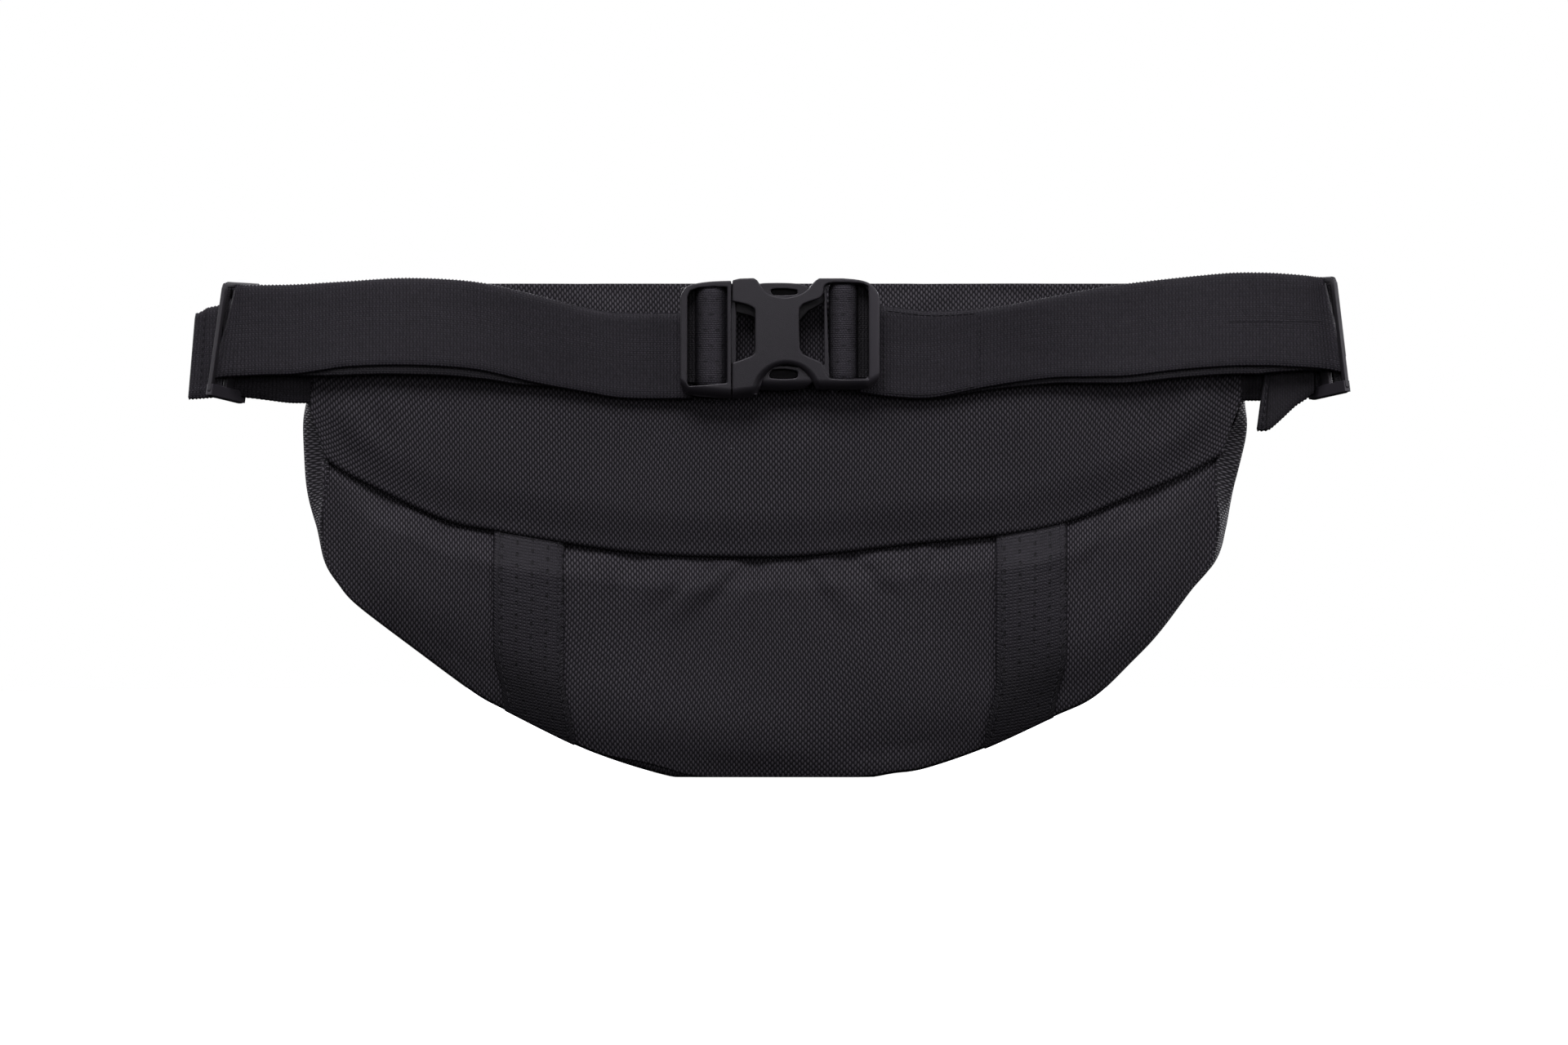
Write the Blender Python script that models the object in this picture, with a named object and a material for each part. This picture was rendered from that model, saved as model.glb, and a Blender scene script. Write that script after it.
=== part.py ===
"""Waist pack: a half-moon bag with a webbing belt that closes with a side-release buckle.

Metres, +Z up. The bag stands on its flattened bottom at z = 0, X runs along the belt,
and the wearer's side (the back panel, with the closed belt in front of it) faces -Y.
Each sub-part is one closed body in its own object. Soft parts are plain sheets of the
right size and place; the buckle, the sliders and the zips are made as they work.
"""

import math

import bmesh
import bpy
from mathutils import Matrix, Vector
from mathutils.geometry import tessellate_polygon

# ---------------------------------------------------------------- driving dimensions
GAP = 0.0003                 # clearance between touching pieces
FABRIC = 0.0013              # coated nylon with its backing
WEBBING = 0.0013             # belt webbing, one layer
TOP_Z = 0.205                # top edge of the bag
BACK_Y = -0.029              # plane of the back panel's edge
FRONT_LOW_Y = 0.034          # front edge of the gusset, low on the bag
FRONT_TOP_Y = 0.0215         # front edge of the gusset, at the zip
PAD_PROUD = 0.0042           # how far the padded upper panel stands off the lower one
POCKET_PROUD = 0.0125        # bulge of the front pocket

# Bag outline seen from the back, from the left top corner round the bottom to the right.
OUTLINE = [
    (-0.1865, 0.205), (-0.1915, 0.182), (-0.1937, 0.160), (-0.1955, 0.146),
    (-0.1940, 0.123), (-0.1900, 0.104), (-0.1870, 0.090), (-0.1815, 0.081),
    (-0.1736, 0.072), (-0.1500, 0.0540), (-0.1255, 0.036), (-0.1130, 0.029),
    (-0.0850, 0.015), (-0.0650, 0.0072), (-0.0440, 0.0012), (-0.0320, 0.0),
    (0.0, 0.0), (0.0320, 0.0), (0.0490, 0.0024), (0.0620, 0.0044),
    (0.0870, 0.013), (0.1150, 0.0258), (0.1320, 0.034), (0.1480, 0.0490),
    (0.1590, 0.0607), (0.1720, 0.078), (0.1815, 0.090), (0.1850, 0.104),
    (0.1890, 0.119), (0.1925, 0.132), (0.1953, 0.146), (0.1940, 0.158),
    (0.1915, 0.182), (0.1865, 0.205),
]

# Lower edge of the padded upper back panel.
SEAM = [
    (-0.1905, 0.1345), (-0.1810, 0.1278), (-0.1690, 0.1214), (-0.1380, 0.1070),
    (-0.1170, 0.1024), (-0.0980, 0.0990), (-0.0576, 0.0932), (-0.0170, 0.0915),
    (0.0140, 0.0922), (0.0610, 0.0973), (0.0910, 0.1003), (0.1190, 0.1054),
    (0.1444, 0.1153), (0.1705, 0.1260), (0.1890, 0.1360),
]

BAND_WIDTH = 0.028           # the two stitched vertical bands
BAND_CENTRES = {"left": -0.1030, "right": 0.1058}

# Main zip: a straight zip on the upper front, its plane leaning forward.
ZIP_LEAN = math.radians(60)
ZIP_CENTRE_Y = 0.0178
ZIP_CENTRE_Z = 0.1848
ZIP_HALF_LENGTH = 0.168
TAPE_WIDTH = 0.0125
COIL_WIDTH = 0.0020
COIL_HEIGHT = 0.0018
COIL_GAP = 0.0005            # half the gap between the two coils
ZIP_TRAVEL_START = 0.150     # x of the main slider when closed

POCKET_ZIP_LEAN = math.radians(78)
POCKET_ZIP_Z = 0.1330
POCKET_ZIP_HALF_LENGTH = 0.108

# Belt layers, as distances in front of (minus) the origin plane.
OUTER_Y = (-0.0414, -0.0401)
INNER_Y = (-0.0398, -0.0385)
REAR_Y = (-0.0292, -0.0279)

# Left and right belt strands: x, lower edge z, upper edge z of the layer nearer the eye.
LEFT_STRAND = [
    (-0.0345, 0.1574, 0.1925), (-0.0627, 0.1576, 0.1925), (-0.0770, 0.1598, 0.1942),
    (-0.1000, 0.1640, 0.2000), (-0.1250, 0.1695, 0.2054), (-0.1530, 0.1712, 0.2070),
    (-0.1840, 0.1700, 0.2054), (-0.2020, 0.1690, 0.2042), (-0.2150, 0.1680, 0.2040),
    (-0.2275, 0.1668, 0.2030), (-0.2305, 0.1650, 0.2005), (-0.2335, 0.1604, 0.1955),
    (-0.2372, 0.1582, 0.1940), (-0.2430, 0.1575, 0.1935),
]
RIGHT_STRAND = [
    (0.0348, 0.1600, 0.1962), (0.0480, 0.1582, 0.1950), (0.0650, 0.1578, 0.1932),
    (0.0890, 0.1625, 0.1946), (0.1130, 0.1658, 0.1990), (0.1310, 0.1664, 0.2024),
    (0.1458, 0.1668, 0.2044), (0.1660, 0.1692, 0.2065), (0.1868, 0.1708, 0.2084),
    (0.2000, 0.1705, 0.2074), (0.2100, 0.1700, 0.2063), (0.2250, 0.1690, 0.2056),
    (0.2325, 0.1670, 0.2040),
]
SECOND_LAYER_DROP = 0.0028   # the layer behind hangs this much lower
FOLD_X = {"left": -0.2275, "right": 0.2290}      # where each belt loop turns back
FOLD_Z = {"left": (0.1610, 0.1980), "right": (0.1635, 0.2000)}
REAR_Z = {"left": (0.1572, 0.1945), "right": (0.1586, 0.1960)}
ANCHOR_X = {"left": -0.1965, "right": 0.1965}    # outer face of the side seam anchors

# Tri-glide sliders at the ends of the loops: turned a little, and leaning out at the foot.
SLIDER_X = {"left": -0.2260, "right": 0.2278}
SLIDER_YAW = {"left": math.radians(-30), "right": math.radians(33)}
END_LEAN = {"left": 0.143, "right": -0.1185}     # x per z of a slider and the loop through it
SLIDER_THICK = 0.0030
SLIDER_Z = {"left": (0.1566, 0.2072), "right": (0.1590, 0.2098)}
SLIDER_Y = (-0.0480, -0.0225)
SLIDER_RAIL = 0.0030
SLIDER_BAR = (-0.0373, -0.0318)                  # centre bar, in y
SLIDER_END_BAR = 0.0035

# Buckle.
BUCKLE_Z = 0.1827
BUCKLE_HALF_HEIGHT = 0.0243
BUCKLE_FRONT_Y = -0.0500
BUCKLE_BACK_Y = -0.0380
FRAME_BACK_Y = -0.0425       # back of the frames that the webbing passes behind
PLATE = 0.0026
BAR_Y = (-0.0466, -0.0436)   # web bars, in y
MALE_X = (-0.0394, -0.0160)
MALE_WEB_BAR = (-0.0320, -0.0205)
FEMALE_X = (-0.0180, 0.0430)
FEMALE_WEB_BAR = (0.0230, 0.0326)
COLUMN_X = (-0.0088, 0.0095)
PRONG_ROOT_X = -0.0157
PRONG_TIP_X = 0.0165
PRONG_Y = (-0.0470, -0.0418)

WEB_COLOUR = (0.011, 0.011, 0.013)
FABRIC_COLOUR = (0.013, 0.013, 0.016)
PLASTIC_COLOUR = (0.012, 0.012, 0.013)
FOAM_COLOUR = (0.05, 0.05, 0.055)
LINING_COLOUR = (0.03, 0.03, 0.035)
METAL_COLOUR = (0.06, 0.06, 0.065)


# ---------------------------------------------------------------- curves and tables
def smooth_curve(points, steps):
    """Points on a Catmull-Rom curve through the given tuples."""
    ends = [points[0]] + list(points) + [points[-1]]
    curve = []
    for a, b, c, d in zip(ends, ends[1:], ends[2:], ends[3:]):
        for k in range(steps):
            t = k / steps
            curve.append(tuple(
                0.5 * (2 * q + (r - p) * t + (2 * p - 5 * q + 4 * r - s) * t**2
                       + (3 * q - p - 3 * r + s) * t**3)
                for p, q, r, s in zip(a, b, c, d)
            ))
    return curve + [tuple(points[-1])]


def lookup(pairs, value):
    """Linear reading of a table of (key, result), keys rising."""
    if value <= pairs[0][0]:
        return pairs[0][1]
    for (k0, r0), (k1, r1) in zip(pairs, pairs[1:]):
        if value <= k1:
            return r0 + (r1 - r0) * (value - k0) / (k1 - k0)
    return pairs[-1][1]


def smooth_step(value):
    t = min(1.0, max(0.0, value))
    return t * t * (3 - 2 * t)


def mix(a, b, t):
    return a + (b - a) * t


FINE_OUTLINE = [(x, max(0.0, z)) for x, z in smooth_curve(OUTLINE, 5)]
LOWEST = min(range(len(FINE_OUTLINE)), key=lambda i: abs(FINE_OUTLINE[i][0]))
LEFT_EDGE = sorted((z, x) for x, z in FINE_OUTLINE[:LOWEST])
RIGHT_EDGE = sorted((z, x) for x, z in FINE_OUTLINE[LOWEST:])
BOTTOM_EDGE = sorted((x, z) for x, z in FINE_OUTLINE if z < 0.142)
FINE_SEAM = smooth_curve(SEAM, 4)


def seam_z(x):
    return lookup(FINE_SEAM, x)


def bottom_z(x):
    return lookup(BOTTOM_EDGE, x)


def edge_x(z, inset):
    """Left and right x of the outline at height z, moved inwards by inset."""
    return lookup(LEFT_EDGE, z) + inset, lookup(RIGHT_EDGE, z) - inset


def front_rim_y(z):
    return mix(FRONT_LOW_Y, FRONT_TOP_Y, smooth_step((z - 0.09) / 0.09))


def zip_point(across, proud, centre, lean):
    """A (y, z) point of a zip: across runs up its slope, proud points out of it."""
    y = centre[0] - across * math.cos(lean) + proud * math.sin(lean)
    z = centre[1] + across * math.sin(lean) + proud * math.cos(lean)
    return y, z


MAIN_ZIP = (ZIP_CENTRE_Y, ZIP_CENTRE_Z)
TAPE_EDGE = COIL_GAP + TAPE_WIDTH
TAPE_CLEAR = 0.0012          # between a tape's edge and the panel it is sewn to
ROOF_FRONT = zip_point(TAPE_EDGE + TAPE_CLEAR, 0.0, MAIN_ZIP, ZIP_LEAN)
FRONT_WALL_TOP = zip_point(-TAPE_EDGE - TAPE_CLEAR, 0.0, MAIN_ZIP, ZIP_LEAN)


def roof_z(y):
    """Height of the bag's top surface at depth y, down the zip's slope at the front."""
    if y > ROOF_FRONT[0]:
        return ROOF_FRONT[1] - (y - ROOF_FRONT[0]) * math.tan(ZIP_LEAN)
    t = (y - BACK_Y) / (ROOF_FRONT[0] - BACK_Y)
    return mix(TOP_Z, ROOF_FRONT[1], max(0.0, t) ** 2)


# ---------------------------------------------------------------- building blocks
def material(name, colour, roughness):
    made = bpy.data.materials.get(name)
    if made is None:
        made = bpy.data.materials.new(name)
        made.use_nodes = True
        shader = made.node_tree.nodes["Principled BSDF"]
        shader.inputs["Base Color"].default_value = (*colour, 1.0)
        shader.inputs["Roughness"].default_value = roughness
    return made


def add_object(name, mesh_data, colour, roughness=0.7, origin=(0, 0, 0)):
    """A finished bmesh becomes a named object with its origin at the given place."""
    bmesh.ops.recalc_face_normals(mesh_data, faces=mesh_data.faces)
    bmesh.ops.translate(mesh_data, verts=mesh_data.verts, vec=-Vector(origin))
    mesh = bpy.data.meshes.new(name)
    mesh_data.to_mesh(mesh)
    mesh_data.free()
    mesh.materials.append(material(name + "_material", colour, roughness))
    made = bpy.data.objects.new(name, mesh)
    made.location = origin
    bpy.context.scene.collection.objects.link(made)
    return made


def sheet(outer, inner):
    """Closed body between two grids of points with the same rows and columns."""
    body = bmesh.new()
    rows = len(outer)
    columns = len(outer[0])
    grids = [[[body.verts.new(p) for p in row] for row in grid] for grid in (outer, inner)]
    for grid in grids:
        for r in range(rows - 1):
            for c in range(columns - 1):
                body.faces.new((grid[r][c], grid[r][c + 1], grid[r + 1][c + 1], grid[r + 1][c]))
    rim = [(0, c) for c in range(columns)]
    rim += [(r, columns - 1) for r in range(1, rows)]
    rim += [(rows - 1, c) for c in range(columns - 2, -1, -1)]
    rim += [(r, 0) for r in range(rows - 2, 0, -1)]
    for (r0, c0), (r1, c1) in zip(rim, rim[1:] + rim[:1]):
        body.faces.new((grids[0][r0][c0], grids[0][r1][c1], grids[1][r1][c1], grids[1][r0][c0]))
    return body


def prism(loops, start, end, place):
    """Closed body: flat outline with holes, swept from start to end along place's third axis."""
    body = bmesh.new()
    flat = [Vector((u, v, 0)) for loop in loops for u, v in loop]
    layers = [[body.verts.new(place(p.x, p.y, w)) for p in flat] for w in (start, end)]
    for triangle in tessellate_polygon([[Vector((u, v, 0)) for u, v in loop] for loop in loops]):
        for layer in layers:
            body.faces.new([layer[i] for i in triangle])
    first = 0
    for loop in loops:
        ring = list(range(first, first + len(loop)))
        for i, j in zip(ring, ring[1:] + ring[:1]):
            body.faces.new((layers[0][i], layers[0][j], layers[1][j], layers[1][i]))
        first += len(loop)
    return body


def along_y(u, v, w):
    return (u, w, v)


def along_x(u, v, w):
    return (w, u, v)


def along_z(u, v, w):
    return (u, v, w)


def rounded(low, high, radius, steps=3):
    """Rounded rectangle outline from its low and high corners; one radius, or one per corner."""
    radii = radius if isinstance(radius, tuple) else (radius,) * 4
    corners = [(high[0], high[1]), (low[0], high[1]), (low[0], low[1]), (high[0], low[1])]
    outline = []
    for k, ((x, z), r) in enumerate(zip(corners, radii)):
        cx = x - r if x == high[0] else x + r
        cz = z - r if z == high[1] else z + r
        for s in range(steps + 1 if r else 1):
            angle = math.pi / 2 * (k + s / steps)
            outline.append((cx + r * math.cos(angle), cz + r * math.sin(angle)))
    return outline


def join(target, tools, solver="EXACT"):
    """Boolean union of a target object and hidden tool objects."""
    for tool in tools:
        tool.hide_render = True
        tool.display_type = "WIRE"
        step = target.modifiers.new("join_" + tool.name, "BOOLEAN")
        step.operation = "UNION"
        step.solver = solver
        step.object = tool
    return target


def columns_between(low, high, count):
    return [mix(low, high, k / (count - 1)) for k in range(count)]


# ---------------------------------------------------------------- bag panels
def pad_crown(x, z):
    """0 at the outline, 1 well inside it: the upper panel is padded between its edges."""
    left, right = edge_x(z, 0.0)
    side = smooth_step(min(x - left, right - x) / 0.024)
    top = smooth_step((TOP_Z - z) / 0.018)
    return side * top


def lower_panel_y(x, z):
    left, right = edge_x(z, 0.0)
    side = smooth_step(min(x - left, right - x) / 0.04)
    rise = smooth_step((z - bottom_z(x)) / 0.035)
    return BACK_Y - 0.0015 * side * rise


def upper_panel_y(x, z):
    crown = pad_crown(x, z)
    belly = 0.0015 * max(0.0, 1 - (x / 0.19) ** 2)
    return BACK_Y - FABRIC - 0.0005 - (PAD_PROUD - 0.0013 + belly) * crown


def panel(low, high, half_widths, surface, rows, columns, thickness=FABRIC):
    """Sheet whose lower and upper edges are functions of x."""
    outer = []
    inner = []
    for v in columns_between(0.0, 1.0, rows):
        left, right = half_widths(v)
        row = []
        for x in columns_between(left, right, columns):
            z = mix(low(x), high(x), v)
            row.append((x, surface(x, z), z))
        outer.append(row)
        inner.append([(x, y + thickness, z) for x, y, z in row])
    return sheet(outer, inner)


def back_panels():
    def upper_sides(v):
        return edge_x(mix(0.1345, TOP_Z, v), 0.0045 * (1 - v))

    upper = panel(seam_z, lambda x: TOP_Z, upper_sides, upper_panel_y, 8, 27)
    add_object("back_panel_upper", upper, FABRIC_COLOUR)

    def lower_sides(v):
        return -0.1885, 0.1835

    lap = 0.004
    lower = panel(bottom_z, lambda x: seam_z(x) + lap, lower_sides, lower_panel_y, 7, 31)
    add_object("back_panel_lower", lower, FABRIC_COLOUR)

    def foam_sides(v):
        return edge_x(mix(0.140, 0.194, v), 0.010)

    def foam_y(x, z):
        return upper_panel_y(x, z) + FABRIC + GAP

    foam = panel(lambda x: seam_z(x) + 0.007, lambda x: 0.1940, foam_sides, foam_y, 5, 19, 0.0035)
    add_object("back_foam_pad", foam, FOAM_COLOUR, 0.9)


def gusset():
    """Bottom and side strip between the back and front panels."""
    base_z = 0.140
    back_y = BACK_Y + FABRIC + GAP
    path = FINE_OUTLINE[::3] + [FINE_OUTLINE[-1]]
    outer = []
    inner = []
    for k, (x, z) in enumerate(path):
        before = path[max(k - 1, 0)]
        after = path[min(k + 1, len(path) - 1)]
        along = Vector((after[0] - before[0], after[1] - before[1])).normalized()
        inward = Vector((-along.y, along.x)) * FABRIC
        outer_row = []
        inner_row = []
        for t in columns_between(0.0, 1.0, 6):
            y = mix(back_y, front_rim_y(z), t)
            height = z
            if z > base_z:
                roof = roof_z(y) - FABRIC - GAP
                height = mix(base_z, roof, (z - base_z) / (TOP_Z - base_z))
            outer_row.append((x, y, height))
            inner_row.append((x + inward.x, y, height + (inward.y if z < base_z else 0.0)))
        outer.append(outer_row)
        inner.append(inner_row)
    add_object("gusset", sheet(outer, inner), FABRIC_COLOUR)


def top_gusset():
    """Top strip from the back panel forward to the main zip."""
    back_y = BACK_Y + FABRIC + GAP
    outer = []
    inner = []
    for y in columns_between(back_y, ROOF_FRONT[0], 6):
        z = roof_z(y)
        left, right = edge_x(z, 0.0)
        row = [(x, y, z) for x in columns_between(left, right, 15)]
        outer.append(row)
        inner.append([(x, y, z - FABRIC) for x, y, z in row])
    add_object("top_gusset", sheet(outer, inner), FABRIC_COLOUR)


def front_wall_y(x, z):
    left, right = edge_x(z, 0.0)
    side = smooth_step(min(x - left, right - x) / 0.05)
    height = (z - bottom_z(x)) / (FRONT_WALL_TOP[1] - bottom_z(x))
    belly = math.sin(math.pi * min(1.0, max(0.0, height))) * side
    flat_top = front_rim_y(z) + 2 * GAP + FABRIC
    ease = smooth_step((z - 0.150) / (FRONT_WALL_TOP[1] - 0.150))
    return mix(flat_top, FRONT_WALL_TOP[0], ease) + 0.0035 * belly


def front_wall():
    def sides(v):
        return edge_x(mix(0.104, FRONT_WALL_TOP[1], v), 0.001)

    body = panel(bottom_z, lambda x: FRONT_WALL_TOP[1], sides, front_wall_y, 10, 29, -FABRIC)
    add_object("front_panel", body, FABRIC_COLOUR)


def pocket_low(x):
    return bottom_z(x) + 0.010


def pocket_high(x):
    return zip_point(-TAPE_EDGE - GAP, 0.0, (0.0, POCKET_ZIP_Z), POCKET_ZIP_LEAN)[1]


def pocket_y(x, z):
    left, right = -0.150, 0.150
    side = smooth_step(min(x - left, right - x) / 0.045)
    span = (z - pocket_low(x)) / (pocket_high(x) - pocket_low(x))
    belly = math.sin(math.pi * min(1.0, max(0.0, span)) ** 0.9) * side
    shoulder = smooth_step((span - 0.55) / 0.45)
    base = front_wall_y(x, z) + GAP + FABRIC
    return base + POCKET_PROUD * (0.75 * belly + 0.25 * side * shoulder * (1 - abs(2 * shoulder - 1)))


def front_pocket():
    """Bulging pocket on the front; its rim is stitched to the front panel."""
    def sides(v):
        return -0.130, 0.130

    body = panel(pocket_low, pocket_high, sides, pocket_y, 8, 21, -FABRIC)
    add_object("front_pocket_panel", body, FABRIC_COLOUR)


def bands():
    """Stitched webbing bands down the lower back panel and round the bottom edge."""
    for side, centre in BAND_CENTRES.items():
        outer = []
        inner = []
        for x in columns_between(centre - BAND_WIDTH / 2, centre + BAND_WIDTH / 2, 5):
            low = bottom_z(x)
            high = seam_z(x) - 0.0045
            outer_row = []
            inner_row = []
            for z in columns_between(high, low, 6):
                y = lower_panel_y(x, z)
                outer_row.append((x, y - GAP - WEBBING, z))
                inner_row.append((x, y - GAP, z))
            outer_row.append((x, BACK_Y - GAP - 0.7 * WEBBING, low - GAP - 0.7 * WEBBING))
            inner_row.append((x, BACK_Y - GAP, low - GAP))
            for y in columns_between(BACK_Y, FRONT_LOW_Y - 0.002, 5):
                outer_row.append((x, y, low - GAP - WEBBING))
                inner_row.append((x, y, low - GAP))
            outer.append(outer_row)
            inner.append(inner_row)
        add_object(f"web_band_{side}", sheet(outer, inner), WEB_COLOUR)


def lining():
    """Thin lining of the main compartment: a cup, open under the zip."""
    skin = 0.0006
    levels = [0.0035, 0.006, 0.016, 0.032, 0.055, 0.085, 0.120, 0.150, 0.166]
    shells = []
    for inset in (0.0, skin):
        rings = []
        for z in levels:
            height = z + (inset if z == levels[0] else 0.0)
            left, right = edge_x(z - 0.0030, 0.0045 + inset)
            back = BACK_Y + 0.0085 + inset
            front = front_rim_y(z) - 0.0025 - inset
            outline = rounded((left, back), (right, front), 0.008, 3)
            rings.append([(x, y, height) for x, y in outline])
        shells.append(rings)
    body = bmesh.new()
    made = [[[body.verts.new(p) for p in ring] for ring in rings] for rings in shells]
    count = len(made[0][0])
    for rings in made:
        body.faces.new(rings[0])
        for low, high in zip(rings, rings[1:]):
            for i in range(count):
                j = (i + 1) % count
                body.faces.new((low[i], low[j], high[j], high[i]))
    for i in range(count):
        j = (i + 1) % count
        body.faces.new((made[0][-1][i], made[0][-1][j], made[1][-1][j], made[1][-1][i]))
    bmesh.ops.triangulate(body, faces=[f for f in body.faces if len(f.verts) > 4])
    add_object("main_lining", body, LINING_COLOUR)


def bindings():
    """Bias tape over the raw seam edges inside the bag, beside the back and front panels."""
    for name, depth in (("binding_back", BACK_Y + 0.0034), ("binding_front", None)):
        path = [point for point in FINE_OUTLINE if point[1] < 0.140][::4]
        outer = []
        inner = []
        for k, (x, z) in enumerate(path):
            before = path[max(k - 1, 0)]
            after = path[min(k + 1, len(path) - 1)]
            along = Vector((after[0] - before[0], after[1] - before[1])).normalized()
            inward = Vector((-along.y, along.x))
            y = depth if depth is not None else front_rim_y(z) - 0.0022
            near = (x + inward.x * 0.0020, z + inward.y * 0.0020)
            far = (x + inward.x * 0.0050, z + inward.y * 0.0050)
            outer.append([(near[0], y, near[1]), (far[0], y, far[1])])
            inner.append([(near[0], y + 0.0012, near[1]), (far[0], y + 0.0012, far[1])])
        add_object(name, sheet(outer, inner), LINING_COLOUR)


# ---------------------------------------------------------------- zips
def zip_strip(name, across, proud, half_length, centre, lean, colour):
    """Straight strip of a zip with a rectangular section."""
    section = [
        zip_point(across[0], proud[0], centre, lean), zip_point(across[1], proud[0], centre, lean),
        zip_point(across[1], proud[1], centre, lean), zip_point(across[0], proud[1], centre, lean),
    ]
    add_object(name, prism([section], -half_length, half_length, along_x), colour)


def zip_set(prefix, centre, lean, half_length, tape_half_length, slider_x):
    """Two tapes, two coils, end stops, a slider and its pull."""
    tape_low = -0.0006
    zip_strip(f"{prefix}_tape_upper", (COIL_GAP, TAPE_EDGE), (tape_low, 0.0), tape_half_length,
              centre, lean, FABRIC_COLOUR)
    zip_strip(f"{prefix}_tape_lower", (-TAPE_EDGE, -COIL_GAP), (tape_low, 0.0), tape_half_length,
              centre, lean, FABRIC_COLOUR)
    coil = (GAP, GAP + COIL_HEIGHT)
    zip_strip(f"{prefix}_coil_upper", (COIL_GAP, COIL_GAP + COIL_WIDTH), coil, half_length,
              centre, lean, PLASTIC_COLOUR)
    zip_strip(f"{prefix}_coil_lower", (-COIL_GAP - COIL_WIDTH, -COIL_GAP), coil, half_length,
              centre, lean, PLASTIC_COLOUR)
    zip_stops(prefix, centre, lean, half_length)
    zip_slider(prefix, centre, lean, slider_x)
    zip_pull(prefix, centre, lean, slider_x)


def zip_stops(prefix, centre, lean, half_length):
    """Metal stops over the ends of the coils."""
    for side, sign in (("left", -1), ("right", 1)):
        section = [zip_point(a, p, centre, lean) for a, p in
                   ((-0.003, GAP), (0.003, GAP), (0.003, 0.0022), (-0.003, 0.0022))]
        start = sign * (half_length + GAP)
        end = sign * (half_length + 0.003)
        body = prism([section], min(start, end), max(start, end), along_x)
        add_object(f"{prefix}_stop_{side}", body, METAL_COLOUR, 0.4)


SLIDER_HALF = 0.0045         # zip slider, half its width and length
PLATE_TOP = (0.0026, 0.0036)
PLATE_BOTTOM = (-0.0020, -0.0011)
BRIDGE_PROUD = 0.0066        # height of the bridge bar over the zip
BRIDGE_BAR = 0.0007


def zip_slider(prefix, centre, lean, slider_x):
    """Slider: two plates joined between the coils, with a bridge bar along the zip."""
    post = 0.0002
    plates = [
        (-SLIDER_HALF, PLATE_TOP[0]), (-SLIDER_HALF, PLATE_TOP[1]), (SLIDER_HALF, PLATE_TOP[1]),
        (SLIDER_HALF, PLATE_TOP[0]), (post, PLATE_TOP[0]), (post, PLATE_BOTTOM[1]),
        (SLIDER_HALF, PLATE_BOTTOM[1]), (SLIDER_HALF, PLATE_BOTTOM[0]),
        (-SLIDER_HALF, PLATE_BOTTOM[0]), (-SLIDER_HALF, PLATE_BOTTOM[1]),
        (-post, PLATE_BOTTOM[1]), (-post, PLATE_TOP[0]),
    ]
    section = [zip_point(a, p, centre, lean) for a, p in plates]
    middle = (slider_x, *zip_point(0, PLATE_TOP[1], centre, lean))
    body = prism([section], slider_x - 0.0055, slider_x + 0.0055, along_x)
    slider = add_object(f"{prefix}_slider", body, METAL_COLOUR, 0.35, middle)

    top = BRIDGE_PROUD + BRIDGE_BAR
    low = BRIDGE_PROUD - BRIDGE_BAR
    foot = PLATE_TOP[1] - 0.0003
    arch = [(-0.0045, foot), (-0.0045, top - 0.001), (-0.0035, top), (0.0035, top),
            (0.0045, top - 0.001), (0.0045, foot), (0.0031, foot), (0.0031, low),
            (-0.0031, low), (-0.0031, foot)]

    def place(u, v, w):
        y, z = zip_point(w, v, centre, lean)
        return (slider_x + u, y, z)

    bridge = add_object(f"{prefix}_bridge_tool", prism([arch], -0.0007, 0.0007, place),
                        METAL_COLOUR, 0.35)
    join(slider, [bridge])


def zip_pull(prefix, centre, lean, slider_x):
    """Pull: an eye round the bridge bar and a tab that hangs down the slope."""
    hinge = (slider_x, *zip_point(0, BRIDGE_PROUD, centre, lean))

    def circle(radius, count):
        return [(radius * math.cos(2 * math.pi * k / count), radius * math.sin(2 * math.pi * k / count))
                for k in range(count)]

    def place(u, v, w):
        y, z = zip_point(u, BRIDGE_PROUD + v, centre, lean)
        return (slider_x + w, y, z)

    eye = prism([circle(0.0027, 12), circle(0.0014, 12)], -0.0012, 0.0012, place)
    pull = add_object(f"{prefix}_pull", eye, METAL_COLOUR, 0.35, hinge)

    tab = rounded((-0.0035, -0.0290), (0.0035, -0.0020), 0.0018)

    def place_tab(u, v, w):
        y, z = zip_point(v, BRIDGE_PROUD + w, centre, lean)
        return (slider_x + u, y, z)

    tool = add_object(f"{prefix}_tab_tool", prism([tab], -0.0006, 0.0006, place_tab), METAL_COLOUR)
    join(pull, [tool])


# ---------------------------------------------------------------- belt
def strap(stations):
    """Upright webbing through (x, y near, y far, low z, high z) stations."""
    curve = smooth_curve(stations, 3)
    outer = []
    inner = []
    for x, near, far, low, high in curve:
        heights = columns_between(low, high, 3)
        outer.append([(x, near, z) for z in heights])
        inner.append([(x, far, z) for z in heights])
    return sheet(outer, inner)


def strands():
    """The doubled front strands of the belt; the nearer layer ends in the left tail."""
    for side, table in (("left", LEFT_STRAND), ("right", RIGHT_STRAND)):
        front = [(x, *OUTER_Y, low, high) for x, low, high in table]
        add_object(f"{side}_strand_outer", strap(front), WEB_COLOUR)


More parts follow.
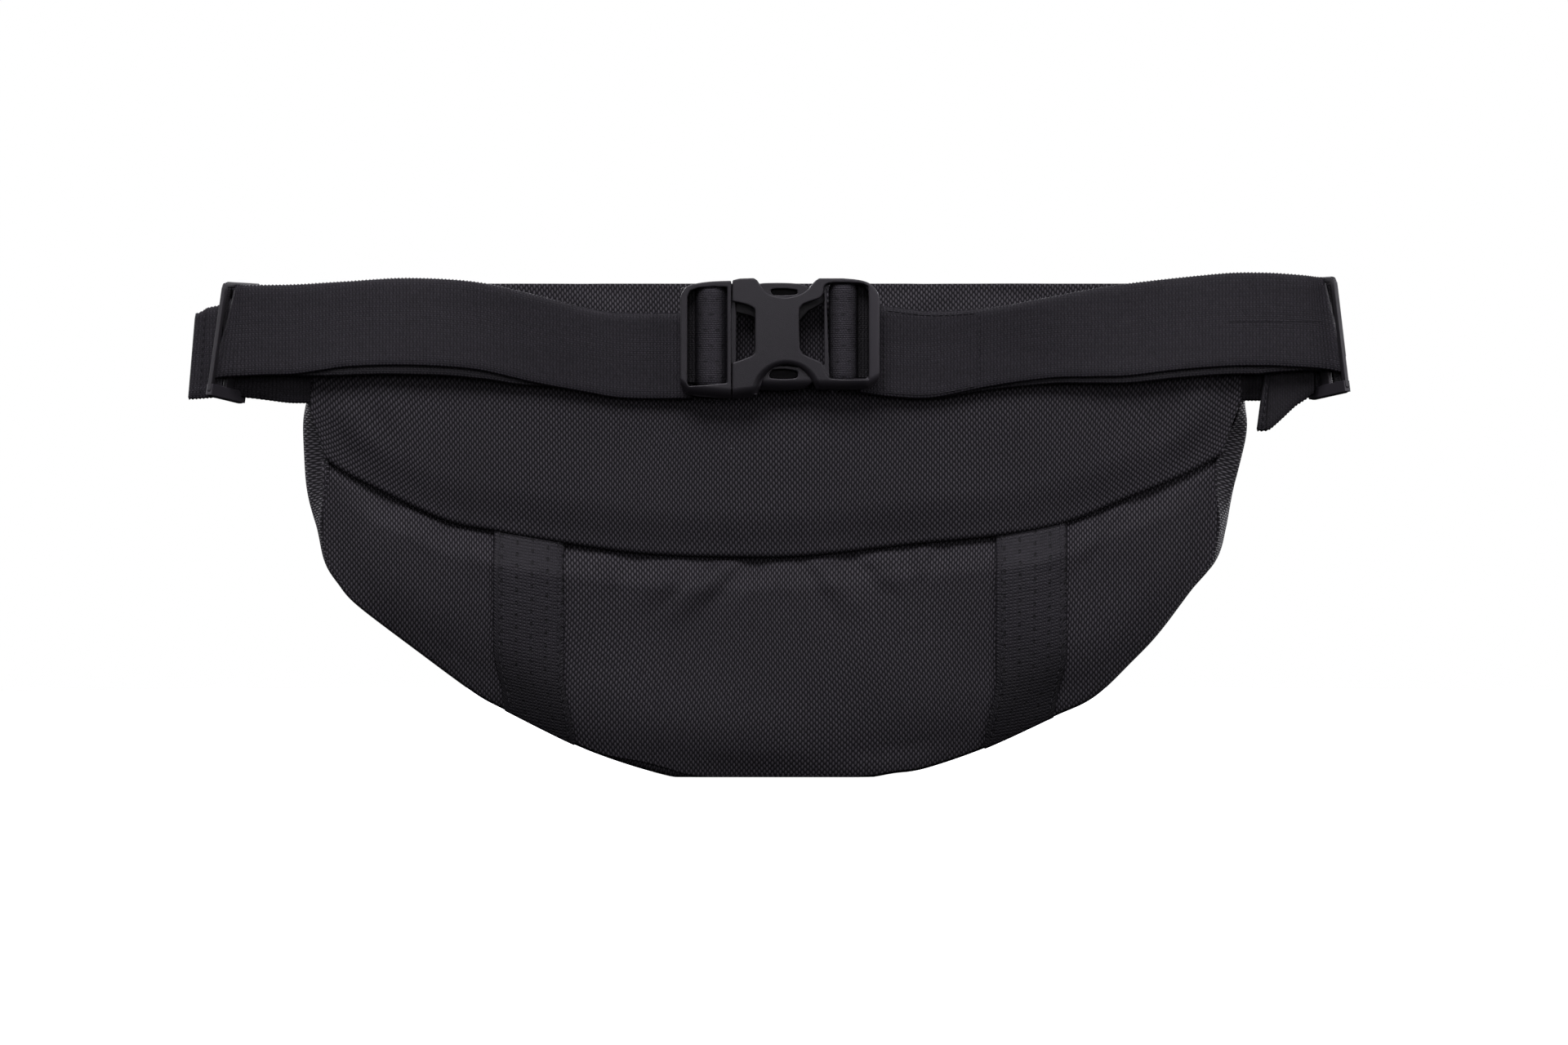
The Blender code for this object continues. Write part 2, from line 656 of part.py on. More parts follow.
def loops():
    """The layer behind, which turns back at the slider and runs to the bag's side seam."""
    for side, table in (("left", LEFT_STRAND), ("right", RIGHT_STRAND)):
        sign = -1 if side == "left" else 1
        end = FOLD_X[side]
        middle_y = (INNER_Y[0] + REAR_Y[1]) / 2
        radius = (REAR_Y[1] - INNER_Y[0]) / 2
        lean = END_LEAN[side]
        run = []
        for x, low, high in smooth_curve(table, 2):
            if abs(x) < abs(end) - 0.001:
                settle = smooth_step((abs(x) - 0.20) / 0.028)
                drop = SECOND_LAYER_DROP * (1 - settle)
                bottom = mix(low - drop, FOLD_Z[side][0], settle)
                top = mix(high - drop - 0.001, FOLD_Z[side][1], settle)
                run.append((Vector((x, INNER_Y[0])), Vector((0, 1)), bottom, top))
        for k in range(1, 8):
            angle = math.pi * k / 8
            outward = Vector((sign * math.sin(angle), -math.cos(angle)))
            on_curve = Vector((end, middle_y)) + outward * radius
            run.append((on_curve, -outward, *FOLD_Z[side]))
        anchor = ANCHOR_X[side] + sign * (0.0035 + GAP)
        for t in columns_between(0.0, 1.0, 6):
            x = mix(end, anchor, t)
            settle = smooth_step((t - 0.8) / 0.2)
            run.append((Vector((x, REAR_Y[1])), Vector((0, -1)),
                        mix(FOLD_Z[side][0], REAR_Z[side][0], settle),
                        mix(FOLD_Z[side][1], REAR_Z[side][1], settle)))
        outer = []
        inner = []
        for point, inwards, bottom, top in run:
            within = point + inwards * WEBBING
            heights = columns_between(bottom, top, 3)
            leaning = lean * smooth_step((abs(point.x) - 0.206) / 0.018)
            outer.append([(point.x + leaning * (z - BUCKLE_Z), point.y, z) for z in heights])
            inner.append([(within.x + leaning * (z - BUCKLE_Z), within.y, z) for z in heights])
        add_object(f"{side}_strand_inner", sheet(outer, inner), WEB_COLOUR)


def anchors():
    """Folded tabs that hold the rear strands in the bag's side seams."""
    for k, (side, x) in enumerate(ANCHOR_X.items()):
        sign = -1 if side == "left" else 1
        end = x + sign * 0.0035
        outline = [(end, 0.1560), (end, 0.1950)]
        for z in columns_between(0.1960, 0.1555, 6):
            outline.append((edge_x(z, 0.0)[k] + sign * 0.0010, z))
        body = prism([outline], REAR_Y[0] - 0.0012, REAR_Y[1] + 0.0012, along_y)
        add_object(f"side_anchor_{side}", body, WEB_COLOUR)


def right_tail():
    """Spare end of the right strand: it comes back out of the slider and hangs down."""
    near = -0.0324
    edges = [
        (0.2236, 0.1596, 0.1950), (0.2190, 0.1572, 0.1940), (0.2157, 0.1545, 0.1925),
        (0.2099, 0.1488, 0.1890), (0.2046, 0.1441, 0.1860), (0.2012, 0.1453, 0.1840),
    ]
    stations = [(x, near, near + WEBBING, low, high) for x, low, high in edges]
    add_object("right_tail", strap(stations), WEB_COLOUR)


def triglides():
    """Moulded sliders with two slots, leaning outwards a little at the foot."""
    for side, x in SLIDER_X.items():
        low = (SLIDER_Y[0], SLIDER_Z[side][0])
        high = (SLIDER_Y[1], SLIDER_Z[side][1])
        frame = rounded(low, high, 0.0035)
        front_slot = rounded((low[0] + SLIDER_END_BAR, low[1] + SLIDER_RAIL),
                             (SLIDER_BAR[0], high[1] - SLIDER_RAIL), 0.0008, 2)
        rear_slot = rounded((SLIDER_BAR[1], low[1] + SLIDER_RAIL),
                            (high[0] - SLIDER_END_BAR + 0.0012, high[1] - SLIDER_RAIL), 0.0008, 2)
        body = prism([frame, front_slot, rear_slot], x - SLIDER_THICK / 2, x + SLIDER_THICK / 2, along_x)
        middle = Vector((x, (low[0] + high[0]) / 2, (low[1] + high[1]) / 2))
        turn = Matrix.Rotation(SLIDER_YAW[side], 3, "Z")
        for vert in body.verts:
            vert.co = turn @ (vert.co - middle) + middle
            vert.co.x += END_LEAN[side] * (vert.co.z - BUCKLE_Z)
        add_object(f"{side}_triglide", body, PLASTIC_COLOUR, 0.45, middle)


# ---------------------------------------------------------------- buckle
def box_outline(x_range, half_low, half_high, side):
    """Rectangle in x and z between two distances from the buckle's centre line."""
    edges = sorted((BUCKLE_Z + side * half_low, BUCKLE_Z + side * half_high))
    return rounded((x_range[0], edges[0]), (x_range[1], edges[1]), 0.0)


def web_loop(name, bar):
    """Webbing wrapped round a web bar."""
    clear = GAP
    inner = rounded((bar[0] - clear, BAR_Y[0] - clear), (bar[1] + clear, BAR_Y[1] + clear), 0.0008)
    wall = clear + WEBBING
    outer = rounded((bar[0] - wall, BAR_Y[0] - wall), (bar[1] + wall, BAR_Y[1] + wall), 0.002)
    add_object(name, prism([outer, inner], 0.1640, 0.2018, along_z), WEB_COLOUR)


def male_half():
    """Male base: an open frame with a web bar and the bar that carries the prongs."""
    half = BUCKLE_HALF_HEIGHT
    shoulder = FEMALE_X[0] - 0.0004
    outside = rounded((MALE_X[0], BUCKLE_Z - half), (shoulder, BUCKLE_Z + half),
                      (0.001, 0.007, 0.007, 0.001))
    inside = [(MALE_X[0] + 0.0028, BUCKLE_Z + side * 0.0200) for side in (-1, 1)]
    corners = len(outside) // 4
    frame_outline = outside[:-corners] + [(shoulder, BUCKLE_Z - half), (shoulder, BUCKLE_Z - 0.0200)]
    frame_outline += inside + [(shoulder, BUCKLE_Z + 0.0200)]
    frame = add_object("buckle_male", prism([frame_outline], BUCKLE_FRONT_Y, FRAME_BACK_Y, along_y),
                       PLASTIC_COLOUR, 0.45)
    bar = rounded((MALE_WEB_BAR[0], BUCKLE_Z - 0.0215), (MALE_WEB_BAR[1], BUCKLE_Z + 0.0215), 0.0)
    bar_tool = add_object("male_bar_tool", prism([bar], *BAR_Y, along_y), PLASTIC_COLOUR)
    base_start = MALE_WEB_BAR[1] + 2 * GAP + WEBBING
    base = [
        (base_start - 0.005, 0.0217), (MALE_X[1], 0.0217), (MALE_X[1], -0.0217),
        (base_start - 0.005, -0.0217), (base_start - 0.005, -0.0199), (base_start, -0.0199),
        (base_start, 0.0199), (base_start - 0.005, 0.0199),
    ]
    base_outline = [(x, BUCKLE_Z + h) for x, h in base]
    base_tool = add_object("male_base_tool", prism([base_outline], *PRONG_Y, along_y), PLASTIC_COLOUR)
    join(frame, [bar_tool, base_tool], "MANIFOLD")
    web_loop("left_web_loop", MALE_WEB_BAR)


def prongs():
    """Two sprung prongs that reach into the female half; their heads show in its side recesses."""
    for name, side in (("prong_upper", 1), ("prong_lower", -1)):
        arm = [
            (PRONG_ROOT_X, 0.0162), (PRONG_ROOT_X, 0.0200), (-0.0085, 0.0205), (-0.0083, 0.0232),
            (-0.0040, 0.0232), (0.0110, 0.0205), (PRONG_TIP_X, 0.0180), (PRONG_TIP_X, 0.0165),
            (0.0110, 0.0160), (-0.0060, 0.0165),
        ]
        outline = [(x, BUCKLE_Z + side * h) for x, h in arm]
        root = (PRONG_ROOT_X, (BUCKLE_FRONT_Y + BUCKLE_BACK_Y) / 2, BUCKLE_Z + side * 0.0175)
        body = prism([outline], *PRONG_Y, along_y)
        add_object(name, body, PLASTIC_COLOUR, 0.35, root)


def female_plate(x_end, hole):
    """Plate outline with the open left window, the finger recesses and rounded corners."""
    half = BUCKLE_HALF_HEIGHT
    upper = [
        (COLUMN_X[0], 0.0095), (COLUMN_X[0] - 0.002, 0.0120), (FEMALE_X[0], 0.0130),
        (FEMALE_X[0], half - 0.001), (FEMALE_X[0] + 0.001, half), (-0.0085, half),
        (-0.0060, 0.0205), (-0.0034, 0.0183), (0.0044, 0.0167), (0.0119, 0.0187),
        (0.0150, 0.0212), (0.0173, half),
    ]
    if x_end > 0.03:
        for k in range(5):
            angle = math.pi / 2 * (1 - k / 4)
            upper.append((x_end - 0.007 + 0.007 * math.cos(angle), half - 0.007 + 0.007 * math.sin(angle)))
    else:
        upper.append((x_end, half))
    loop = [(x, BUCKLE_Z + h) for x, h in upper]
    loop += [(x, BUCKLE_Z - h) for x, h in reversed(upper)]
    return [loop, hole] if hole else [loop]


def female_half():
    """Female half: front and back plates round the prong channels, and the web frame."""
    hole = [
        (0.0385, BUCKLE_Z + 0.0190), (0.0370, BUCKLE_Z + 0.0205), (0.0210, BUCKLE_Z + 0.0205),
        (0.0130, BUCKLE_Z + 0.0150), (COLUMN_X[1], BUCKLE_Z + 0.0100),
        (COLUMN_X[1], BUCKLE_Z - 0.0100), (0.0130, BUCKLE_Z - 0.0150),
        (0.0210, BUCKLE_Z - 0.0205), (0.0370, BUCKLE_Z - 0.0205), (0.0385, BUCKLE_Z - 0.0190),
    ]
    front = (BUCKLE_FRONT_Y, BUCKLE_FRONT_Y + PLATE)
    back = (BUCKLE_BACK_Y - PLATE, BUCKLE_BACK_Y)
    body = add_object("buckle_female", prism(female_plate(FEMALE_X[1], hole), *front, along_y),
                      PLASTIC_COLOUR, 0.45)

    between = (front[1] - 0.0004, back[0] + 0.0004)
    end_wall = (0.0185, 0.0215)
    tools = []

    def tool(name, loops, depth):
        tools.append(add_object(name, prism(loops, *depth, along_y), PLASTIC_COLOUR))

    back_end = end_wall[1] + 0.0005
    back_plate = female_plate(back_end, None)[0]
    notch = [(back_end, BUCKLE_Z + 0.0190), (0.0130, BUCKLE_Z + 0.0150),
             (COLUMN_X[1], BUCKLE_Z + 0.0100), (COLUMN_X[1], BUCKLE_Z - 0.0100),
             (0.0130, BUCKLE_Z - 0.0150), (back_end, BUCKLE_Z - 0.0190)]
    tool("female_back_tool", [notched(back_plate, notch)], back)
    tool("female_column_tool", [rounded((COLUMN_X[0] + 0.001, BUCKLE_Z - 0.0085),
                                        (COLUMN_X[1] - 0.001, BUCKLE_Z + 0.0085), 0.0)], between)
    frame_start = end_wall[0] + 0.0006
    frame = [
        (frame_start, BUCKLE_Z - BUCKLE_HALF_HEIGHT + 0.0005),
        (FEMALE_X[1] - 0.0070, BUCKLE_Z - BUCKLE_HALF_HEIGHT + 0.0005),
        (FEMALE_X[1] - 0.0005, BUCKLE_Z - BUCKLE_HALF_HEIGHT + 0.0070),
        (FEMALE_X[1] - 0.0005, BUCKLE_Z + BUCKLE_HALF_HEIGHT - 0.0070),
        (FEMALE_X[1] - 0.0070, BUCKLE_Z + BUCKLE_HALF_HEIGHT - 0.0005),
        (frame_start, BUCKLE_Z + BUCKLE_HALF_HEIGHT - 0.0005),
        (frame_start, BUCKLE_Z + 0.0208), (0.0375, BUCKLE_Z + 0.0208), (0.0390, BUCKLE_Z + 0.0190),
        (0.0390, BUCKLE_Z - 0.0190), (0.0375, BUCKLE_Z - 0.0208), (frame_start, BUCKLE_Z - 0.0208),
    ]
    tool("female_frame_tool", [frame], (front[1] - 0.0004, FRAME_BACK_Y))
    for name, side in (("upper", 1), ("lower", -1)):
        tool(f"female_end_{name}_tool", [box_outline(end_wall, 0.0195, 0.0235, side)], between)
        tool(f"female_mouth_{name}_tool", [box_outline((-0.0175, -0.0092), 0.0222, 0.0238, side)], between)
    bar = rounded((FEMALE_WEB_BAR[0], BUCKLE_Z - 0.0215), (FEMALE_WEB_BAR[1], BUCKLE_Z + 0.0215), 0.0)
    tool("female_bar_tool", [bar], BAR_Y)
    join(body, tools, "MANIFOLD")
    web_loop("right_web_loop", FEMALE_WEB_BAR)


def notched(plate, notch):
    """The plate's outline with its straight right end replaced by a notch."""
    half = len(plate) // 2
    return plate[:half] + notch + plate[half:]


# ---------------------------------------------------------------- assembly
def main():
    for old in list(bpy.data.objects):
        bpy.data.objects.remove(old, do_unlink=True)
    back_panels()
    gusset()
    top_gusset()
    front_wall()
    front_pocket()
    bands()
    lining()
    bindings()
    zip_set("main_zip", MAIN_ZIP, ZIP_LEAN, ZIP_HALF_LENGTH, 0.1865, ZIP_TRAVEL_START)
    pocket_zip_y = pocket_y(0.0, pocket_high(0.0)) + 0.0015
    centre = (pocket_zip_y - TAPE_EDGE * math.cos(POCKET_ZIP_LEAN), POCKET_ZIP_Z)
    zip_set("pocket_zip", centre, POCKET_ZIP_LEAN, POCKET_ZIP_HALF_LENGTH, 0.116, 0.096)
    strands()
    loops()
    anchors()
    right_tail()
    triglides()
    male_half()
    prongs()
    female_half()


main()
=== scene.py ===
"""Looks of the waist pack: cloth, webbing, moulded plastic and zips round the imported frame.

Metres, in the frame's own axes: X along the belt, Z up, the back panel faces -Y.
"""

import math

import bmesh
import bpy
import numpy as np
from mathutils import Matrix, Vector
from mathutils.geometry import tessellate_polygon


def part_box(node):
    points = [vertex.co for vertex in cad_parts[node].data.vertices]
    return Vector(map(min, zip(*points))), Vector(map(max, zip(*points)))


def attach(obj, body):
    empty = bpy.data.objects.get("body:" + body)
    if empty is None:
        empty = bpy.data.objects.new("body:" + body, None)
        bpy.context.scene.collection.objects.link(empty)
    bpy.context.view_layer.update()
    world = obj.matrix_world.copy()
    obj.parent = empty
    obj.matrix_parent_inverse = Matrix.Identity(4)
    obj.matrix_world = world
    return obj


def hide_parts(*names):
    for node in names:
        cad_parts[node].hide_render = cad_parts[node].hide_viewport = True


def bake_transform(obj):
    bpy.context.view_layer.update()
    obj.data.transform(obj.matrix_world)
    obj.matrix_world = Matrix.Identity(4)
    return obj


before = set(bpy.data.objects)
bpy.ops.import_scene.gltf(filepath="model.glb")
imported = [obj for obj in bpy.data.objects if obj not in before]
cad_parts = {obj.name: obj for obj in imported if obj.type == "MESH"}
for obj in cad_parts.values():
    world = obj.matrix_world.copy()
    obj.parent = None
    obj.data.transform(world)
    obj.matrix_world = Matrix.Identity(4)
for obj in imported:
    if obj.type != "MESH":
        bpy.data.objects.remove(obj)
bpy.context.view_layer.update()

MM = 0.001

# ---------------------------------------------------------------- sizes shared with the frame
TOP_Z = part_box("back_panel_upper")[1].z
BACK_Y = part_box("back_panel_upper")[1].y - 0.0008
FRONT_LOW_Y = 0.034          # front of the gusset, low down and at the top
FRONT_TOP_Y = 0.0215
CLOTH = 0.0010               # thickness of the pack fabric

# The bag's outline and the seam between its back panels, as (x, z).
OUTLINE = [
    (-0.1865, 0.205), (-0.1915, 0.182), (-0.1937, 0.160), (-0.1955, 0.146),
    (-0.1940, 0.123), (-0.1900, 0.104), (-0.1870, 0.090), (-0.1815, 0.081),
    (-0.1736, 0.072), (-0.1500, 0.0540), (-0.1255, 0.036), (-0.1130, 0.029),
    (-0.0850, 0.015), (-0.0650, 0.0072), (-0.0440, 0.0012), (-0.0320, 0.0),
    (0.0, 0.0), (0.0320, 0.0), (0.0490, 0.0024), (0.0620, 0.0044),
    (0.0870, 0.013), (0.1150, 0.0258), (0.1320, 0.034), (0.1480, 0.0490),
    (0.1590, 0.0607), (0.1720, 0.078), (0.1815, 0.090), (0.1850, 0.104),
    (0.1890, 0.119), (0.1925, 0.132), (0.1953, 0.146), (0.1940, 0.158),
    (0.1915, 0.182), (0.1865, 0.205),
]
SEAM = [
    (-0.1905, 0.1345), (-0.1810, 0.1278), (-0.1690, 0.1214), (-0.1380, 0.1070),
    (-0.1170, 0.1024), (-0.0980, 0.0990), (-0.0576, 0.0932), (-0.0170, 0.0915),
    (0.0140, 0.0922), (0.0610, 0.0973), (0.0910, 0.1003), (0.1190, 0.1054),
    (0.1444, 0.1153), (0.1705, 0.1260), (0.1890, 0.1360),
]
# Side edges of the upper back panel, as (z, x): it pulls in beside the folded side gusset.
UPPER_LEFT = [(0.1345, -0.1880), (0.1420, -0.1908), (0.1507, -0.1936), (0.1640, -0.1922),
              (0.1820, -0.1908), (0.2050, -0.1865)]
UPPER_RIGHT = [(0.1330, 0.1856), (0.1380, 0.1875), (0.1500, 0.1918), (0.1578, 0.1936),
               (0.1820, 0.1910), (0.2050, 0.1865)]
LOWER_SIDES = (-0.1886, 0.1838)    # side edges of the lower back panel

# Zips: slope, (y, z) of the middle line, half length, half width of the pair of tapes.
ZIP_LEAN = math.radians(60)
MAIN_ZIP = (0.0178, 0.1848)
MAIN_ZIP_HALF = 0.168
POCKET_ZIP_LEAN = math.radians(78)
POCKET_ZIP_Z = 0.1330
POCKET_ZIP_HALF = 0.108
TAPE_EDGE = 0.013
TAPE_CLEAR = 0.0012

# Front strands of the belt, as (x, lower z, upper z).
LEFT_STRAND = [
    (-0.0345, 0.1574, 0.1925), (-0.0627, 0.1576, 0.1925), (-0.0770, 0.1598, 0.1942),
    (-0.1000, 0.1640, 0.2000), (-0.1250, 0.1695, 0.2054), (-0.1530, 0.1712, 0.2070),
    (-0.1770, 0.1706, 0.2057), (-0.1880, 0.1691, 0.2050), (-0.2000, 0.1675, 0.2043),
    (-0.2150, 0.1671, 0.2041), (-0.2275, 0.1663, 0.2044), (-0.2322, 0.1648, 0.2042),
]
LEFT_TAIL = [(-0.2432, 0.1574, 0.1938), (-0.2372, 0.1578, 0.1946), (-0.2300, 0.1584, 0.1960)]
RIGHT_STRAND = [
    (0.0348, 0.1600, 0.1962), (0.0480, 0.1582, 0.1950), (0.0650, 0.1578, 0.1932),
    (0.0890, 0.1625, 0.1946), (0.1130, 0.1658, 0.1990), (0.1310, 0.1664, 0.2024),
    (0.1458, 0.1668, 0.2046), (0.1660, 0.1692, 0.2070), (0.1868, 0.1708, 0.2090),
    (0.2000, 0.1710, 0.2092), (0.2100, 0.1708, 0.2088), (0.2250, 0.1698, 0.2076),
    (0.2356, 0.1676, 0.2066),
]
STRANDS = {"left": (-1, LEFT_STRAND), "right": (1, RIGHT_STRAND)}
OUTER_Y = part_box("left_strand_outer")[0].y
WEBBING = 0.0013
INNER_Y = OUTER_Y + WEBBING + 0.0003
REAR_Y = -0.0279
# How far the layer behind hangs below the nearer one, as (x, drop).
SECOND_LAYER_DROP = {
    "left": [(-0.219, -0.0004), (-0.203, 0.0002), (-0.192, 0.0016), (-0.180, 0.0034), (-0.155, 0.0038),
             (-0.125, 0.0036), (-0.110, 0.0026), (-0.085, -0.0006), (-0.034, -0.0010)],
    "right": [(0.034, -0.0006), (0.060, 0.0004), (0.110, 0.0022), (0.160, 0.0032), (0.200, 0.0034),
              (0.220, 0.0010)],
}
FOLD_X = {"left": -0.2240, "right": 0.2258}
END_LEAN = {"left": 0.143, "right": -0.1185}
SLIDER_YAW = {"left": math.radians(-30), "right": math.radians(33)}
FOLD_Z = {"left": (0.1590, 0.1985), "right": (0.1600, 0.2010)}
FOLD_NEAR_LOW = {"left": 0.1662, "right": 0.1690}     # lower edge where the fold leaves the nearer layer
SLOT_X = {"left": -0.2293, "right": 0.2330}      # where the nearer layer goes back through the slider
REAR_Z = {"left": (0.1564, 0.1940), "right": (0.1574, 0.1950)}
ANCHOR_X = {"left": -0.1965, "right": 0.1965}

BUCKLE_Z = 0.1827


# ---------------------------------------------------------------- curves
def smooth_curve(points, steps):
    """Points on a Catmull-Rom curve through the given tuples."""
    ends = np.array([points[0], *points, points[-1]], float)
    curve = []
    for p, q, r, s in zip(ends, ends[1:], ends[2:], ends[3:]):
        for t in np.arange(steps) / steps:
            curve.append(0.5 * (2 * q + (r - p) * t + (2 * p - 5 * q + 4 * r - s) * t**2
                                + (3 * q - p - 3 * r + s) * t**3))
    return np.array(curve + [ends[-1]])


def mix(a, b, t):
    return a + (b - a) * t


def smooth_step(value):
    t = np.clip(value, 0.0, 1.0)
    return t * t * (3 - 2 * t)


def bump(value):
    """1 at 0, falling smoothly to 0 at -1 and 1."""
    return np.clip(1 - np.square(value), 0.0, 1.0) ** 2


FINE_OUTLINE = smooth_curve(OUTLINE, 8)
FINE_OUTLINE[:, 1] = np.maximum(FINE_OUTLINE[:, 1], 0.0)
LOWEST = int(np.argmin(np.abs(FINE_OUTLINE[:, 0])))
LEFT_EDGE = FINE_OUTLINE[:LOWEST][::-1]
RIGHT_EDGE = FINE_OUTLINE[LOWEST:]
BOTTOM_EDGE = FINE_OUTLINE[FINE_OUTLINE[:, 1] < 0.142]
FINE_SEAM = smooth_curve(SEAM, 8)


def seam_z(x):
    return np.interp(x, FINE_SEAM[:, 0], FINE_SEAM[:, 1])


def bottom_z(x):
    return np.interp(x, BOTTOM_EDGE[:, 0], BOTTOM_EDGE[:, 1])


def edge_x(z):
    """Left and right x of the bag's outline at height z."""
    left = np.interp(z, np.sort(LEFT_EDGE[:, 1]), LEFT_EDGE[np.argsort(LEFT_EDGE[:, 1]), 0])
    right = np.interp(z, np.sort(RIGHT_EDGE[:, 1]), RIGHT_EDGE[np.argsort(RIGHT_EDGE[:, 1]), 0])
    return left, right


def rows_of(count):
    return np.linspace(0, 1, count)[:, None]


def columns_of(count):
    return np.linspace(0, 1, count)[None, :]


def table(pairs, value):
    keys, results = zip(*pairs)
    return np.interp(value, keys, results)


def front_rim_y(z):
    return mix(FRONT_LOW_Y, FRONT_TOP_Y, smooth_step((z - 0.09) / 0.09))


def zip_point(across, proud, centre, lean):
    """A (y, z) point of a zip: across runs up its slope, proud points out of it."""
    return (centre[0] - across * math.cos(lean) + proud * math.sin(lean),
            centre[1] + across * math.sin(lean) + proud * math.cos(lean))


ROOF_FRONT = zip_point(TAPE_EDGE + TAPE_CLEAR, 0.0, MAIN_ZIP, ZIP_LEAN)
FRONT_WALL_TOP = zip_point(-TAPE_EDGE - TAPE_CLEAR, 0.0, MAIN_ZIP, ZIP_LEAN)


def roof_z(y):
    """Height of the bag's top surface at depth y, down the zip's slope at the front."""
    level = np.clip((y - BACK_Y) / (ROOF_FRONT[0] - BACK_Y), 0.0, 1.0)
    roof = mix(TOP_Z, ROOF_FRONT[1], level**2)
    slope = ROOF_FRONT[1] - (y - ROOF_FRONT[0]) * math.tan(ZIP_LEAN)
    return np.where(y > ROOF_FRONT[0], slope, roof)


def soft_noise(a, b, size, seed, waves=7):
    """Smooth random field over two coordinates, about -1 to 1, with features of the given size."""
    rng = np.random.default_rng(seed)
    total = 0.0
    for _ in range(waves):
        angle, phase = rng.uniform(0, 2 * math.pi, 2)
        rate = 2 * math.pi / (size * rng.uniform(1.4, 3.0))
        total = total + np.sin(rate * (a * math.cos(angle) + b * math.sin(angle)) + phase)
    return total / math.sqrt(waves)


# ---------------------------------------------------------------- materials
class Value:
    """A shader value: arithmetic on it adds math nodes to its tree."""

    def __init__(self, output):
        self.output = output
        self.tree = output.id_data

    def __add__(self, other):
        return calc(self.tree, "ADD", self, other)

    def __sub__(self, other):
        return calc(self.tree, "SUBTRACT", self, other)

    def __rsub__(self, other):
        return calc(self.tree, "SUBTRACT", other, self)

    def __mul__(self, other):
        return calc(self.tree, "MULTIPLY", self, other)

    def __truediv__(self, other):
        return calc(self.tree, "DIVIDE", self, other)

    def at_least(self, other):
        return calc(self.tree, "MAXIMUM", self, other)

    def at_most(self, other):
        return calc(self.tree, "MINIMUM", self, other)

    def limited(self):
        return self.at_least(0.0).at_most(1.0)

    def fraction(self):
        return calc(self.tree, "FRACT", self)


def socket(tree, node_input, value):
    if isinstance(value, Value):
        tree.links.new(value.output, node_input)
    else:
        node_input.default_value = value


def shader_node(tree, kind, **inputs):
    """A new node; an input's name has _ for each space."""
    node = tree.nodes.new("ShaderNode" + kind)
    for name, value in inputs.items():
        socket(tree, node.inputs[name.replace("_", " ")], value)
    return node


def calc(tree, operation, *values):
    node = tree.nodes.new("ShaderNodeMath")
    node.operation = operation
    for node_input, value in zip(node.inputs, values):
        socket(tree, node_input, value)
    return Value(node.outputs[0])


def blend_colours(tree, factor, low, high):
    node = tree.nodes.new("ShaderNodeMix")
    node.data_type = "RGBA"
    socket(tree, node.inputs["Factor"], factor)
    for name, colour in (("A", low), ("B", high)):
        inputs = [i for i in node.inputs if i.name == name and i.type == "RGBA"]
        socket(tree, inputs[0], colour if isinstance(colour, Value) else (*colour, 1.0))
    return Value([o for o in node.outputs if o.type == "RGBA"][0])


def scale_range(tree, value, low, high):
    return Value(shader_node(tree, "MapRange", Value=value, To_Min=low, To_Max=high).outputs["Result"])


def own_place(tree):
    """The object's own coordinates."""
    return Value(tree.nodes.new("ShaderNodeTexCoord").outputs["Object"])


def split_axes(tree, vector):
    node = shader_node(tree, "SeparateXYZ", Vector=vector)
    return [Value(node.outputs[axis]) for axis in "XYZ"]


def noise(tree, scale, detail=2.0, stretch=None):
    """Noise over the object's own coordinates."""
    place = own_place(tree)
    if stretch:
        place = Value(shader_node(tree, "Mapping", Vector=place, Scale=stretch).outputs["Vector"])
    return Value(shader_node(tree, "TexNoise", Vector=place, Scale=scale, Detail=detail).outputs["Fac"])


def cells(tree, scale):
    return shader_node(tree, "TexVoronoi", Vector=own_place(tree), Scale=scale)


def cloth_axes(tree):
    """Length and width along the cloth in metres, from its own map."""
    uv_map = tree.nodes.new("ShaderNodeUVMap")
    uv_map.uv_map = "cloth"
    return split_axes(tree, Value(uv_map.outputs["UV"]))[:2]


def spots(u, v, cell, spot, stagger=0.5):
    """A staggered grid of soft ellipses: 1 in their middles, 0 outside them."""
    row = calc(v.tree, "FLOOR", v / cell[1])
    across = calc(v.tree, "MULTIPLY_ADD", row, stagger, u / cell[0]).fraction()
    a = (across - 0.5) * (cell[0] / spot[0])
    b = ((v / cell[1]).fraction() - 0.5) * (cell[1] / spot[1])
    return (1.0 - (a * a + b * b)).at_least(0.0)


def ridges(along, pitch):
    """Rounded ribs across the given direction: 1 on their crests, 0 in the grooves."""
    off = (along / pitch).fraction() * 2.0 - 1.0
    return 1.0 - off * off


def new_material(name, roughness=0.6, specular=0.5, metallic=0.0):
    made = bpy.data.materials.new(name)
    made.use_nodes = True
    shader = made.node_tree.nodes["Principled BSDF"]
    shader.inputs["Roughness"].default_value = roughness
    shader.inputs["Specular IOR Level"].default_value = specular
    shader.inputs["Metallic"].default_value = metallic
    return made, made.node_tree, shader


def finish_shader(tree, shader, colour, height, distance, roughness=None):
    """Connects the colour, the bump and, where it varies, the roughness."""
    socket(tree, shader.inputs["Base Color"], colour)
    if roughness:
        socket(tree, shader.inputs["Roughness"], roughness)
    bumps = shader_node(tree, "Bump", Distance=distance, Strength=1.0, Height=height)
    tree.links.new(bumps.outputs["Normal"], shader.inputs["Normal"])


def patchy(tree, colour, amount, size):
    """The colour, lighter and darker in soft patches of the given size."""
    scale = tree.nodes.new("ShaderNodeVectorMath")
    scale.operation = "SCALE"
    socket(tree, scale.inputs[0], colour)
    socket(tree, scale.inputs["Scale"], scale_range(tree, noise(tree, 1.0 / size), 1 - amount, 1 + amount))
    return Value(scale.outputs["Vector"])


